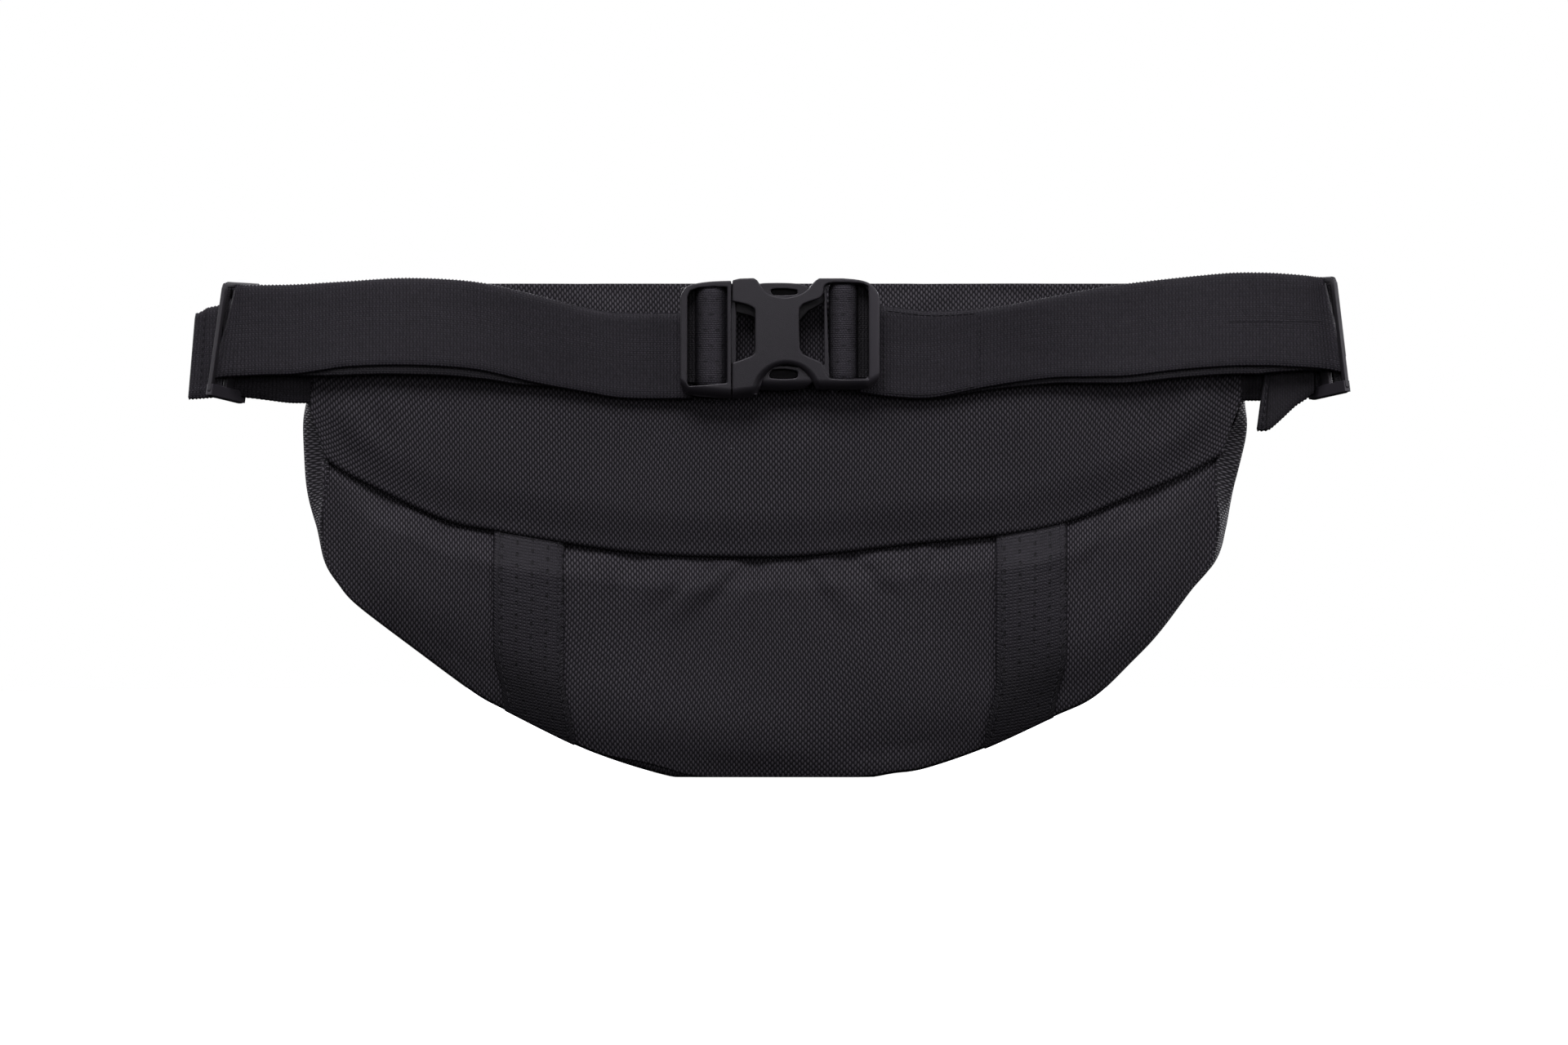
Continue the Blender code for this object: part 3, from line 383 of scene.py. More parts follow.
def lint(tree, colour, amount):
    """A few pale specks of dust on the cloth, fewer as amount nears 1."""
    specks = cells(tree, 55.0)
    near = calc(tree, "LESS_THAN", Value(specks.outputs["Distance"]), 0.016)
    tint = shader_node(tree, "SeparateColor", Color=Value(specks.outputs["Color"]))
    chosen = calc(tree, "GREATER_THAN", Value(tint.outputs[0]), amount)
    return blend_colours(tree, near * chosen, colour, (0.16, 0.16, 0.17))


def past(value, start, end, amount):
    """Rises from 0 at start to amount at end."""
    return ((value - start) / (end - start)).limited() * amount


def ballistic_nylon():
    """Heavy basket-like weave: staggered rows of shiny floats over dark gaps."""
    made, tree, shader = new_material("ballistic_nylon", 0.52, 0.30)
    u, v = cloth_axes(tree)
    wobble = (noise(tree, 260.0, 1.0) - 0.5) * 0.00022
    floats = spots(v + wobble, u + wobble, (0.00255, 0.00104), (0.00106, 0.00052))
    uneven = scale_range(tree, noise(tree, 620.0, 1.0), 0.55, 1.35)
    shade = (calc(tree, "POWER", floats, 0.95) * uneven).at_most(1.0)
    colour = blend_colours(tree, shade, (0.0030, 0.0028, 0.0040), (0.068, 0.064, 0.071))
    colour = lint(tree, patchy(tree, colour, 0.14, 0.035), 0.93)
    finish_shader(tree, shader, colour, floats, 0.00022, scale_range(tree, floats, 0.8, 0.5))
    return made


def webbing(name, dots, tone, rib=0.00140, painted_shade=None, weft=0.20):
    """Ribbed webbing with sparse binder pits as dark as dots says; painted_shade paints shade that darkens
    it along its length, as (from, to, how much).
    """
    made, tree, shader = new_material(name, 0.55, 0.28)
    u, v = cloth_axes(tree)
    wobble = (noise(tree, 700.0) - 0.5) * 0.00110
    yarns = spots(u, v, (rib, 0.00092), (rib * 0.52, 0.00060))
    ribs = ridges(u + wobble, rib) * (1 - weft) + ridges(v + wobble, 0.00088) * weft
    ribs = ribs * scale_range(tree, yarns, 0.34, 1.0)
    bands = noise(tree, 160.0, 2.0, (0.04, 0.04, 1.0))
    dark = tuple(tone * c for c in (0.0050, 0.0046, 0.0060))
    light = tuple(tone * c for c in (0.0385, 0.0360, 0.0425))
    colour = blend_colours(tree, ribs, dark, light)
    colour = blend_colours(tree, scale_range(tree, bands, 0.0, 0.45), colour, dark)
    colour = patchy(tree, colour, 0.42, 0.0019)
    if painted_shade:
        # Painted shade: darker with distance along the cloth's length map.
        shade_amount = past(calc(tree, "ABSOLUTE", u), *painted_shade)
        colour = blend_colours(tree, shade_amount, colour, (0.0012, 0.0012, 0.0015))
    height = ribs
    if dots:
        pits = (spots(u, v, (0.0052, 0.0065), (0.00105, 0.00062)) * 2.4).at_most(dots)
        colour = blend_colours(tree, pits, colour, (0.0015, 0.0015, 0.0018))
        height = ribs - pits * 0.9
    finish_shader(tree, shader, lint(tree, colour, 0.9), height, 0.00020)
    return made


def moulded_plastic(name="moulded_acetal", tone=1.0, highlight_band=None):
    """Fine-grained plastic; highlight_band paints a highlight that makes it paler past an x, as (from, to,
    how much).
    """
    made, tree, shader = new_material(name, 0.42, 0.5 * min(1.0, tone * 2))
    grain = noise(tree, 3200.0)
    low, high = (tuple(tone * c for c in colour)
                 for colour in ((0.0120, 0.0112, 0.0130), (0.0165, 0.0155, 0.0178)))
    colour = blend_colours(tree, noise(tree, 60.0), low, high)
    if highlight_band:
        # Painted highlight: the plastic turns paler past the given x, where the outer bar catches the
        # light.
        highlit = past(split_axes(tree, own_place(tree))[0], *highlight_band)
        colour = blend_colours(tree, highlit, colour, (0.050, 0.047, 0.053))
    finish_shader(tree, shader, colour, grain, 0.00004, scale_range(tree, grain, 0.36, 0.52))
    return made


def thread():
    """Twisted sewing thread."""
    made, tree, shader = new_material("bonded_thread", 0.5, 0.35)
    twist = noise(tree, 1800.0, 1.0)
    finish_shader(tree, shader, blend_colours(tree, twist, *DARK_CLOTH), twist, 0.0001)
    return made


def plain_cloth(name, colours, rib):
    """Fine plain cloth such as lining, tape or binding."""
    made, tree, shader = new_material(name, 0.75, 0.25)
    x, y, z = split_axes(tree, own_place(tree))
    threads = spots(x, z + y * 0.7, (rib, rib * 0.6), (rib * 0.5, rib * 0.34))
    colour = patchy(tree, blend_colours(tree, threads, *colours), 0.12, 0.02)
    finish_shader(tree, shader, colour, threads, 0.0001)
    return made


def foam():
    made, tree, shader = new_material("closed_cell_foam", 0.9, 0.2)
    depth = Value(cells(tree, 1400.0).outputs["Distance"])
    colour = blend_colours(tree, depth, (0.03, 0.03, 0.034), (0.07, 0.07, 0.075))
    finish_shader(tree, shader, colour, depth, 0.0003)
    return made


def dark_metal():
    """Painted zinc, a little brighter in places where its paint wears."""
    made, tree, shader = new_material("painted_zinc", 0.34, 0.5, 0.85)
    wear = noise(tree, 260.0, 4.0)
    colour = blend_colours(tree, wear, (0.030, 0.030, 0.033), (0.085, 0.083, 0.086))
    finish_shader(tree, shader, colour, noise(tree, 1500.0), 0.00003, scale_range(tree, wear, 0.26, 0.46))
    return made


DARK_CLOTH = ((0.006, 0.006, 0.007), (0.022, 0.021, 0.025))
NYLON = ballistic_nylon()
BELT_WEB = webbing("belt_webbing", 0.0, 1.0)
BELT_WEB_SHADE = webbing("belt_webbing_in_shade", 0.0, 0.60)
# The bands are painted darker towards the bottom where they roll under: painted shade.
BAND_WEB = webbing("band_webbing", 0.92, 0.86, painted_shade=(0.046, 0.066, 0.60))
# The loops are painted darker towards their sides, away from the front: painted shade.
LOOP_WEB = webbing("loop_webbing", 0.55, 1.30, 0.00120, painted_shade=(0.0015, 0.0064, 0.80), weft=0.65)
# Near-black copy of the loop webbing: painted shade for strips seen only in shadow.
LOOP_WEB_SHADE = webbing("loop_webbing_in_shade", 0.0, 0.22)
PLASTIC = moulded_plastic()
# Near-black copy for the prongs' slot floors: painted shade in the blind slots.
PLASTIC_SHADE = moulded_plastic("moulded_acetal_in_shade", 0.12)
# The female half's right outer bar is painted paler: a painted highlight where it faces the light.
PLASTIC_FEMALE = moulded_plastic("moulded_acetal_female", highlight_band=(0.0365, 0.0400, 0.42))
# Darker copy for the buckle's back plate behind the windows: painted shade where the front plate shades it.
PLASTIC_BACK_SHADE = moulded_plastic("moulded_acetal_back_in_shade", 0.42)
# Paler copy of the plastic for the sliders' feet: a painted highlight where their faces catch the light.
PLASTIC_PAINTED_HIGHLIGHT = moulded_plastic("moulded_acetal_painted_highlight", 2.3)
THREAD = thread()
TAPE = plain_cloth("zip_tape_cloth", DARK_CLOTH, 0.0008)
LINING = plain_cloth("lining_cloth", ((0.012, 0.012, 0.014), (0.036, 0.036, 0.041)), 0.0006)
COIL = moulded_plastic("zip_coil_nylon", 1.3)
METAL = dark_metal()
FOAM = foam()


# ---------------------------------------------------------------- mesh building
def add_object(name, data):
    made = bpy.data.objects.new(name, data)
    bpy.context.scene.collection.objects.link(made)
    return made


def mesh_points(mesh):
    points = np.empty(len(mesh.vertices) * 3)
    mesh.vertices.foreach_get("co", points)
    return points.reshape(-1, 3)


def distance_along(line):
    """Distance travelled at each point of a line (count, any)."""
    return np.concatenate([[0], np.cumsum(np.linalg.norm(np.diff(line, axis=0), axis=1))])


def mesh_object(name, points, faces, material, uv=None):
    mesh = bpy.data.meshes.new(name)
    mesh.from_pydata(np.asarray(points, float).tolist(), [], np.asarray(faces).tolist()
                     if isinstance(faces, np.ndarray) else faces)
    if uv is not None:
        layer = mesh.uv_layers.new(name="cloth")
        corner = np.empty(len(mesh.loops), np.int32)
        mesh.loops.foreach_get("vertex_index", corner)
        layer.data.foreach_set("uv", np.asarray(uv, np.float32)[corner].ravel())
    mesh.materials.append(material)
    mesh.shade_smooth()
    return add_object(name, mesh)


def grid_quads(index):
    return np.stack([index[:-1, :-1], index[:-1, 1:], index[1:, 1:], index[1:, :-1]], -1).reshape(-1, 4)


def grid_normals(points):
    across = np.gradient(points, axis=1)
    up = np.gradient(points, axis=0)
    normals = np.cross(across, up)
    return normals / np.maximum(np.linalg.norm(normals, axis=-1, keepdims=True), 1e-12)


def lengths(points, axis):
    """Distance along the grid from its first row or column."""
    steps = np.linalg.norm(np.diff(points, axis=axis), axis=-1)
    start = np.zeros_like(np.take(steps, [0], axis=axis))
    return np.concatenate([start, np.cumsum(steps, axis=axis)], axis=axis)


def cloth_sheet(name, outer, material, thickness=CLOTH, uv=None, flip=False, round_rim=0.45):
    """Closed sheet with a rounded rim; the outer grid's rows rise and its columns run right."""
    if uv is None:
        uv = np.stack([lengths(outer, 1), lengths(outer, 0)], -1)
    if flip:
        outer = outer[:, ::-1]
        uv = uv[:, ::-1]
    rows, columns = outer.shape[:2]
    inner = outer - grid_normals(outer) * thickness
    index = np.arange(rows * columns).reshape(rows, columns)
    behind = index + rows * columns
    ring = np.concatenate([index[0, :-1], index[:-1, -1], index[-1, :0:-1], index[:0:-1, 0]])
    flat_outer = outer.reshape(-1, 3)
    flat_inner = inner.reshape(-1, 3)
    inside = np.concatenate([index[1, :-1], index[:-1, -2], index[-2, :0:-1], index[:0:-1, 1]])
    away = flat_outer[ring] - flat_outer[inside]
    away /= np.maximum(np.linalg.norm(away, axis=-1, keepdims=True), 1e-12)
    middle = (flat_outer[ring] + flat_inner[ring]) / 2 + away * thickness * round_rim
    rim = np.arange(len(ring)) + 2 * rows * columns
    after = np.roll(np.arange(len(ring)), -1)
    faces = np.concatenate([
        grid_quads(index), grid_quads(behind)[:, ::-1],
        np.stack([ring[after], ring, rim, rim[after]], -1),
        np.stack([rim[after], rim, behind.ravel()[ring], behind.ravel()[ring[after]]], -1),
    ])
    points = np.concatenate([flat_outer, flat_inner, middle])
    flat_uv = uv.reshape(-1, 2)
    return mesh_object(name, points, faces, material, np.concatenate([flat_uv, flat_uv, flat_uv[ring]]))


def ring_sheet(name, outer, inner, material, uv):
    """Closed band between two stacks of rings, each (rows, count, 3)."""
    rows, count = outer.shape[:2]
    size = rows * count
    index = np.arange(size).reshape(rows, count)
    wrapped = np.concatenate([index, index[:, :1]], axis=1)
    faces = [grid_quads(wrapped), grid_quads(wrapped + size)[:, ::-1]]
    for row, turn in ((0, 1), (-1, -1)):
        a = wrapped[row]
        quads = np.stack([a[1:], a[:-1], a[:-1] + size, a[1:] + size], -1)
        faces.append(quads[:, ::turn])
    points = np.concatenate([outer.reshape(-1, 3), inner.reshape(-1, 3)])
    flat_uv = uv.reshape(-1, 2)
    return mesh_object(name, points, np.concatenate(faces), material, np.concatenate([flat_uv, flat_uv]))


def tube(name, path, radius, material, sides=6, hint=(0.0, 0.0, 1.0)):
    """Round tubes with capped ends along one path or a list of them, as one object."""
    paths = path if isinstance(path, list) else [path]
    all_points = []
    all_faces = []
    first = 0
    for line in paths:
        along = np.gradient(line, axis=0)
        along /= np.linalg.norm(along, axis=1, keepdims=True)
        side = np.cross(along, np.array(hint, float))
        side /= np.maximum(np.linalg.norm(side, axis=1, keepdims=True), 1e-9)
        up = np.cross(side, along)
        angles = 2 * math.pi * np.arange(sides) / sides
        radii = np.broadcast_to(radius, (len(line),))[:, None, None]
        rings = line[:, None] + radii * (side[:, None] * np.cos(angles)[None, :, None]
                                         + up[:, None] * np.sin(angles)[None, :, None])
        index = np.arange(len(line) * sides).reshape(len(line), sides) + first
        wrapped = np.concatenate([index, index[:, :1]], axis=1)
        all_faces += grid_quads(wrapped).tolist()
        all_faces += [index[0, ::-1].tolist(), index[-1].tolist()]
        all_points.append(rings.reshape(-1, 3))
        first += len(line) * sides
    made = mesh_object(name, np.concatenate(all_points), all_faces, material)
    return outward(made)


def outward(made):
    work = bmesh.new()
    work.from_mesh(made.data)
    bmesh.ops.recalc_face_normals(work, faces=work.faces)
    work.to_mesh(made.data)
    work.free()
    return made


def stitches(name, lines, pitch=0.0030, length=0.0023, radius=0.00028, sides=6):
    """Rows of sunk stitches along each polyline (count, 3)."""
    pieces = []
    for line in lines:
        line = np.asarray(line, float)
        travelled = distance_along(line)
        for start in np.arange(pitch / 2, travelled[-1] - length, pitch):
            at = start + length * np.array([0.0, 0.12, 0.5, 0.88, 1.0])
            pieces.append(np.stack([np.interp(at, travelled, line[:, k]) for k in range(3)], -1))
    taper = radius * np.array([0.25, 0.8, 1.0, 0.8, 0.25])
    return tube(name, pieces, taper, THREAD, sides, hint=(0.13, 0.21, 0.97))


def soften_corners(made):
    """Lets the bag's upper corners sag and round off, away from the zip's run."""
    points = mesh_points(made.data)
    out = smooth_step((np.abs(points[:, 0]) - 0.152) / 0.040)
    points[:, 2] -= 0.011 * out**1.6 * smooth_step((points[:, 2] - 0.168) / 0.037)
    made.data.vertices.foreach_set("co", points.ravel())
    made.data.update()
    return made


def place(made, body, slot, nodes=(), bend=None):
    if bend:
        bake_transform(made)
    else:
        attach(made, body)
    if nodes:
        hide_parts(*nodes)
    return made


# ---------------------------------------------------------------- bag: back panels
FOLD_RADIUS = 0.0024


def upper_y(x, z):
    """Front face of the padded upper panel."""
    left, right = table(UPPER_LEFT, z), table(UPPER_RIGHT, z)
    side = smooth_step(np.minimum(x - left, right - x) / 0.026)
    top = smooth_step((TOP_Z - z) / 0.022)
    low = 0.30 + 0.70 * smooth_step((z - seam_z(x)) / 0.020)
    belly = 0.0008 * np.maximum(0.0, 1 - (x / 0.19) ** 2)
    soft = 0.00035 * soft_noise(x, z, 0.030, 3) * top * side
    folds = 0.0
    for x0, z0, slope, reach, depth in UPPER_FOLDS:
        run = (x - x0) * slope[0] + (z - z0) * slope[1]
        off = (x - x0) * slope[1] - (z - z0) * slope[0]
        folds = folds + depth * bump(off / 0.0075) * bump(run / reach)
    return BACK_Y - 0.0016 - (0.0030 + belly) * side * top * low - soft - folds * side


# Soft folds of the upper panel: x, z of the middle, direction, half length, height.
UPPER_FOLDS = [
    (0.176, 0.150, (0.50, 0.87), 0.022, 0.0009), (0.163, 0.152, (0.42, 0.91), 0.020, -0.0007),
    (-0.178, 0.148, (-0.55, 0.83), 0.020, 0.0008), (-0.166, 0.150, (-0.45, 0.89), 0.020, -0.0006),
    (0.060, 0.198, (0.93, 0.36), 0.026, 0.0010), (0.095, 0.201, (0.97, -0.22), 0.030, -0.0008),
    (-0.075, 0.197, (0.95, -0.30), 0.028, 0.0009), (-0.055, 0.190, (0.90, 0.44), 0.022, -0.0006),
]


def upper_panel():
    rows, columns = 76, 260
    v = rows_of(rows)
    u = columns_of(columns)
    span = mix(0.1345, TOP_Z, v)
    left, right = table(UPPER_LEFT, span), table(UPPER_RIGHT, span)
    x = left + (right - left) * u
    start = seam_z(x) + FOLD_RADIUS
    z = mix(start, TOP_Z, v)
    y = upper_y(x, z)
    hem = []
    for climb in (0.0090, 0.0060, 0.0030):
        hem.append(np.stack([x[0], y[0] + 1.6 * FOLD_RADIUS, start[0] + climb], -1))
    for angle in np.linspace(math.pi, 0, 9)[:-1]:
        hem.append(np.stack([x[0], y[0] + 0.8 * FOLD_RADIUS * (1 - math.cos(angle)),
                             start[0] - FOLD_RADIUS * math.sin(angle)], -1))
    outer = np.concatenate([np.array(hem), np.stack([x, y, z], -1)])
    sag = 0.25 * (seam_z(outer[..., 0]) - seam_z(0.0))
    height = lengths(outer, 0)
    uv = np.stack([outer[..., 0] + 0.0012 * soft_noise(outer[..., 0], outer[..., 2], 0.05, 5),
                   height + 0.7 * sag + 0.0010 * soft_noise(outer[..., 0], outer[..., 2], 0.06, 6)], -1)
    made = soften_corners(cloth_sheet("upper_panel_cloth", outer, NYLON, 0.0009, uv))
    place(made, "bag", "pack_fabric", ["back_panel_upper"])


# Gathers of the lower panel: x at the seam, lean (x per z down), half width, reach, depth.
GATHERS = [
    (-0.072, -0.30, 0.0050, 0.020, 0.0016), (-0.058, 0.35, 0.0060, 0.024, -0.0014),
    (-0.040, 0.55, 0.0055, 0.026, 0.0018), (-0.019, 0.88, 0.0058, 0.034, 0.0030),
    (-0.007, 0.80, 0.0052, 0.024, -0.0022), (0.004, 0.30, 0.0055, 0.018, 0.0014),
    (0.016, -0.62, 0.0054, 0.034, 0.0027), (0.028, -0.80, 0.0055, 0.026, -0.0021),
    (0.043, -0.35, 0.0050, 0.022, 0.0016), (0.061, 0.06, 0.0038, 0.016, 0.0024),
    (0.070, 0.20, 0.0050, 0.018, -0.0014), (0.128, 0.80, 0.0060, 0.020, 0.0019),
    (0.143, 1.10, 0.0062, 0.026, 0.0018), (0.156, 0.60, 0.0070, 0.020, -0.0013),
    (-0.128, -0.40, 0.0070, 0.026, 0.0015), (-0.146, 0.60, 0.0090, 0.030, 0.0017),
    (-0.165, -0.50, 0.0090, 0.026, -0.0013), (-0.088, 0.20, 0.0040, 0.014, -0.0009),
]


def lower_y(x, z):
    """Front face of the lower panel: full in the middle, rolled under at its lower edge."""
    low = bottom_z(x)
    high = seam_z(x)
    side = smooth_step(np.minimum(x - LOWER_SIDES[0], LOWER_SIDES[1] - x) / 0.030)
    rise = np.clip((z - low) / 0.030, 0.0, 1.0)
    roll = 1 - (1 - rise) ** 2.3
    drop = smooth_step((high + 0.001 - z) / 0.016)
    body = 0.0050 * side * roll * (0.06 + 0.94 * drop)
    middle = smooth_step((high - z) / 0.010) * smooth_step((z - low) / 0.012) * side
    body = body + 0.00085 * soft_noise(x, z, 0.034, 11) * middle
    for x0, lean, width, reach, depth in GATHERS:
        down = high - z
        centre = x0 - lean * down
        body = body + 0.80 * depth * bump((x - centre) / (1.3 * width * (1 + 18 * np.maximum(down, 0)))) \
            * smooth_step(down / 0.003) * bump(down / reach)
    return BACK_Y + 0.0004 - body + 0.0012 * bump((high - z) / 0.0060)


def wedge(x):
    """Height of the gusset strip that shows under the lower panel's edge."""
    return 0.0024 * bump((x + 0.050) / 0.024)


def lower_panel():
    rows, columns = 110, 330
    v = rows_of(rows) ** 1.15
    x = np.linspace(*LOWER_SIDES, columns)[None, :] + 0 * v
    z = mix(np.maximum(bottom_z(x) + wedge(x), 0.0007), seam_z(x) + 0.005, v)
    y = lower_y(x, z)
    outer = np.stack([x, y, z], -1)
    drift = 0.0016 * soft_noise(x, z, 0.045, 21)
    uv = np.stack([x + drift, z + 0.0012 * soft_noise(x, z, 0.05, 22)], -1)
    place(cloth_sheet("lower_panel_cloth", outer, NYLON, CLOTH, uv),
          "bag", "pack_fabric", ["back_panel_lower"])


BANDS = {"left": (-0.1026, 0.0042), "right": (0.1060, -0.0046)}
BAND_WIDTH = 0.0285


def bands():
    """Webbing bands down the lower panel and round the bottom, stitched along both edges."""
    for side, (centre, shift) in BANDS.items():
        v = columns_of(15)
        high = seam_z(centre) + 0.002
        low = bottom_z(centre)
        down = rows_of(90)
        middle = centre + shift * smooth_step(1 - (mix(high, low, down) - low) / 0.024)
        x = middle + (v - 0.5) * BAND_WIDTH
        fall = mix(seam_z(x) + 0.002, bottom_z(x), down)
        edge = 0.00018 * np.cos(2 * math.pi * fall / 0.0015) * (np.abs(v - 0.5) > 0.49)
        x = x + edge * np.sign(v - 0.5)
        lift = 0.0011 + 0.0003 * bump((v - 0.5) / 0.6)
        taut = 0.0010 * bump((seam_z(x) - fall) / 0.0060)
        turned_under = 0.0012 * smooth_step((down - 0.9) / 0.1)
        front = np.stack([x, lower_y(x, fall) - lift - taut, fall - turned_under], -1)
        back = []
        for t in np.linspace(0.03, 1, 36):
            y = mix(BACK_Y + 0.0004, FRONT_LOW_Y - 0.001, t)
            row = x[-1:]
            back.append(np.stack([row, np.full_like(row, y), bottom_z(row) - 0.0014], -1))
        outer = np.concatenate([front, *back])
        uv = np.stack([lengths(outer, 0), lengths(outer, 1)], -1)
        place(cloth_sheet(f"web_band_{side}_cloth", outer, BAND_WEB, 0.0010, uv, flip=True),
              "bag", "webbing", [f"web_band_{side}"])
        rows = [outer[:88, k] + np.array([0, -0.00012, 0]) for k in (1, 13)]
        place(stitches(f"band_stitching_{side}", rows), "bag", "webbing")


# ---------------------------------------------------------------- bag: gusset, top and front
def gusset():
    """Strip round the bottom and sides: folded back beside the panels, seamed at both edges."""
    curve = FINE_OUTLINE
    distance = distance_along(curve)
    at = np.linspace(0, distance[-1], 330)
    path = np.stack([np.interp(at, distance, curve[:, k]) for k in range(2)], -1)
    along = np.gradient(path, axis=0)
    along /= np.linalg.norm(along, axis=1, keepdims=True)
    inward = np.stack([-along[:, 1], along[:, 0]], -1)
    t = rows_of(48) ** 1.25
    x0, z0 = path[:, 0][None], path[:, 1][None]
    back_y = BACK_Y + 0.0007
    front_y = mix(front_rim_y(z0) + 0.0006, FRONT_WALL_TOP[0] - 0.0004, smooth_step((z0 - 0.148) / 0.022))
    y = mix(back_y, front_y, t)
    flat_z = np.where(z0 > 0.140, mix(0.140, roof_z(y) - 0.0016, (z0 - 0.140) / (TOP_Z - 0.140)), z0)
    sides = bump((z0 - 0.131) / 0.030) * (np.abs(x0) > 0.15)
    tuck = 0.0080 * sides * (1 - smooth_step(t / 0.12)) \
        + 1.15 * wedge(x0) * (z0 < 0.02) * (1 - smooth_step(t / 0.014))
    seam = 0.0010 * (np.exp(-((t - 0.0) / 0.03) ** 2) + np.exp(-((t - 1.0) / 0.03) ** 2))
    free = smooth_step(z0 / 0.03)
    full = mix(0.0003, 0.0018, smooth_step((z0 - 0.060) / 0.040))
    swell = full * np.sin(math.pi * t) * free * (z0 < 0.195)
    crumple = 0.45 * full * soft_noise(at[None] + 0 * t, y, 0.026, 31) * np.sin(math.pi * t) * free
    offset = tuck + seam - swell - crumple
    x = x0 + inward[:, 0][None] * offset
    z = flat_z + inward[:, 1][None] * offset
    outer = np.stack([x, y + 0 * x, np.maximum(z, 0.0009)], -1)
    uv = np.stack([at[None] + 0 * t, y + 0 * x], -1)
    made = cloth_sheet("gusset_cloth", outer, NYLON, CLOTH, uv, flip=False)
    outward(soften_corners(made))
    place(made, "bag", "pack_fabric", ["gusset"])


def top_gusset():
    """Top of the bag, from the back panel's edge forward to the zip."""
    t = rows_of(30)
    y = mix(BACK_Y + 0.0009, ROOF_FRONT[0], t)
    height = roof_z(y)
    left, right = edge_x(height)
    u = columns_of(240)
    x = left + (right - left) * u
    z = height + (0.0013 * soft_noise(x, y, 0.05, 41) - 0.0018) * np.sin(math.pi * t)
    outer = np.stack([x, y + 0 * x, z + 0 * x], -1)
    made = soften_corners(cloth_sheet("top_gusset_cloth", outer, NYLON, CLOTH))
    place(made, "bag", "pack_fabric", ["top_gusset"])
    line = outer[-3] + np.array([0, 0, 0.00015])
    place(soften_corners(stitches("top_zip_stitching", [line[4:-4]])), "bag", "pack_fabric")


def front_wall_y(x, z):
    left, right = edge_x(z)
    side = smooth_step(np.minimum(x - left, right - x) / 0.05)
    height = np.clip((z - bottom_z(x)) / (FRONT_WALL_TOP[1] - bottom_z(x)), 0.0, 1.0)
    flat_top = front_rim_y(z) + 0.0006 + 0.0013
    ease = smooth_step((z - 0.150) / (FRONT_WALL_TOP[1] - 0.150))
    return mix(flat_top, FRONT_WALL_TOP[0], ease) + 0.0035 * np.sin(math.pi * height) * side


def front_panel():
    v = rows_of(90)
    left, right = edge_x(mix(0.104, FRONT_WALL_TOP[1], v))
    x = mix(left + 0.001, right - 0.001, columns_of(260))
    z = mix(bottom_z(x), FRONT_WALL_TOP[1], v)
    inside = np.sin(math.pi * v) * smooth_step((0.19 - np.abs(x)) / 0.03)
    y = front_wall_y(x, z) + 0.0012 * soft_noise(x, z, 0.05, 51) * inside
    # A welt stands out behind the pocket zip's tapes.
    welt = smooth_step((0.124 - np.abs(x)) / 0.006) * smooth_step((z - 0.121) / 0.004) \
        * smooth_step((0.158 - z) / 0.010)
    behind_tape = POCKET_ZIP[0] - (z - POCKET_ZIP_Z) / math.tan(POCKET_ZIP_LEAN) - 0.0012
    y = y + welt * np.maximum(behind_tape - y, 0.0)
    outer = np.stack([x, y, z], -1)
    made = soften_corners(cloth_sheet("front_panel_cloth", outer, NYLON, CLOTH, flip=True))
    place(made, "bag", "pack_fabric", ["front_panel"])
    line = outer[-3] + np.array([0, 0.0002, 0])
    place(soften_corners(stitches("front_zip_stitching", [line[4:-4]])), "bag", "pack_fabric")


def pocket_low(x):
    return bottom_z(x) + 0.010


POCKET_HIGH = zip_point(-TAPE_EDGE - 0.0003, 0.0, (0.0, POCKET_ZIP_Z), POCKET_ZIP_LEAN)[1]


def pocket_y(x, z):
    side = smooth_step((0.1305 - np.abs(x)) / 0.034)
    span = np.clip((z - pocket_low(x)) / (POCKET_HIGH - pocket_low(x)), 0.0, 1.0)
    belly = np.sin(math.pi * span) ** 0.9 * side
    shoulder = smooth_step((span - 0.55) / 0.45)
    base = front_wall_y(x, z) + 0.0012 * soft_noise(x, z, 0.05, 51) * 0.6 + 0.0014
    return base + 0.0125 * (0.75 * belly + 0.25 * side * shoulder * (1 - np.abs(2 * shoulder - 1)))


def front_pocket():
    v = rows_of(80)
    x = np.linspace(-0.130, 0.130, 220)[None, :] + 0 * v
    z = mix(pocket_low(x), POCKET_HIGH, v)
    inside = np.sin(math.pi * v) * smooth_step((0.13 - np.abs(x)) / 0.02)
    y = pocket_y(x, z) + 0.0008 * soft_noise(x, z, 0.030, 61) * inside
    outer = np.stack([x, y, z], -1)
    place(cloth_sheet("front_pocket_cloth", outer, NYLON, CLOTH, flip=True),
          "bag", "pack_fabric", ["front_pocket_panel"])
    skin = np.array([0, 0.0002, 0])
    rows = [outer[2:-2, 3] + skin, outer[2:-2, -4] + skin, outer[3, 4:-4] + skin, outer[-4, 4:-4] + skin]
    place(stitches("pocket_stitching", rows), "bag", "pack_fabric")


def foam_pad():
    """Sheet of foam behind the upper panel, with rounded edges."""
    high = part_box("back_foam_pad")[1]
    v = rows_of(40)
    u = columns_of(120)
    span = mix(0.140, 0.194, v)
    left, right = edge_x(span)
    x = mix(left + 0.011, right - 0.011, u)
    z = mix(seam_z(x) + 0.0105, high.z, v)
    y = upper_y(x, z) + 0.0012
    outer = np.stack([x, y, z], -1)
    edge = np.minimum(np.minimum(u, 1 - u) / 0.02, np.minimum(v, 1 - v) / 0.06)
    outer[..., 1] += 0.0012 * (1 - smooth_step(edge))
    made = place(cloth_sheet("back_foam_cushion", outer, FOAM, 0.0030), "bag", "foam", ["back_foam_pad"])


# ---------------------------------------------------------------- zips
def zip_place(x, across, proud, centre, lean):
    y, z = zip_point(np.asarray(across), np.asarray(proud), centre, lean)
    return np.stack(np.broadcast_arrays(x, y, z), -1)


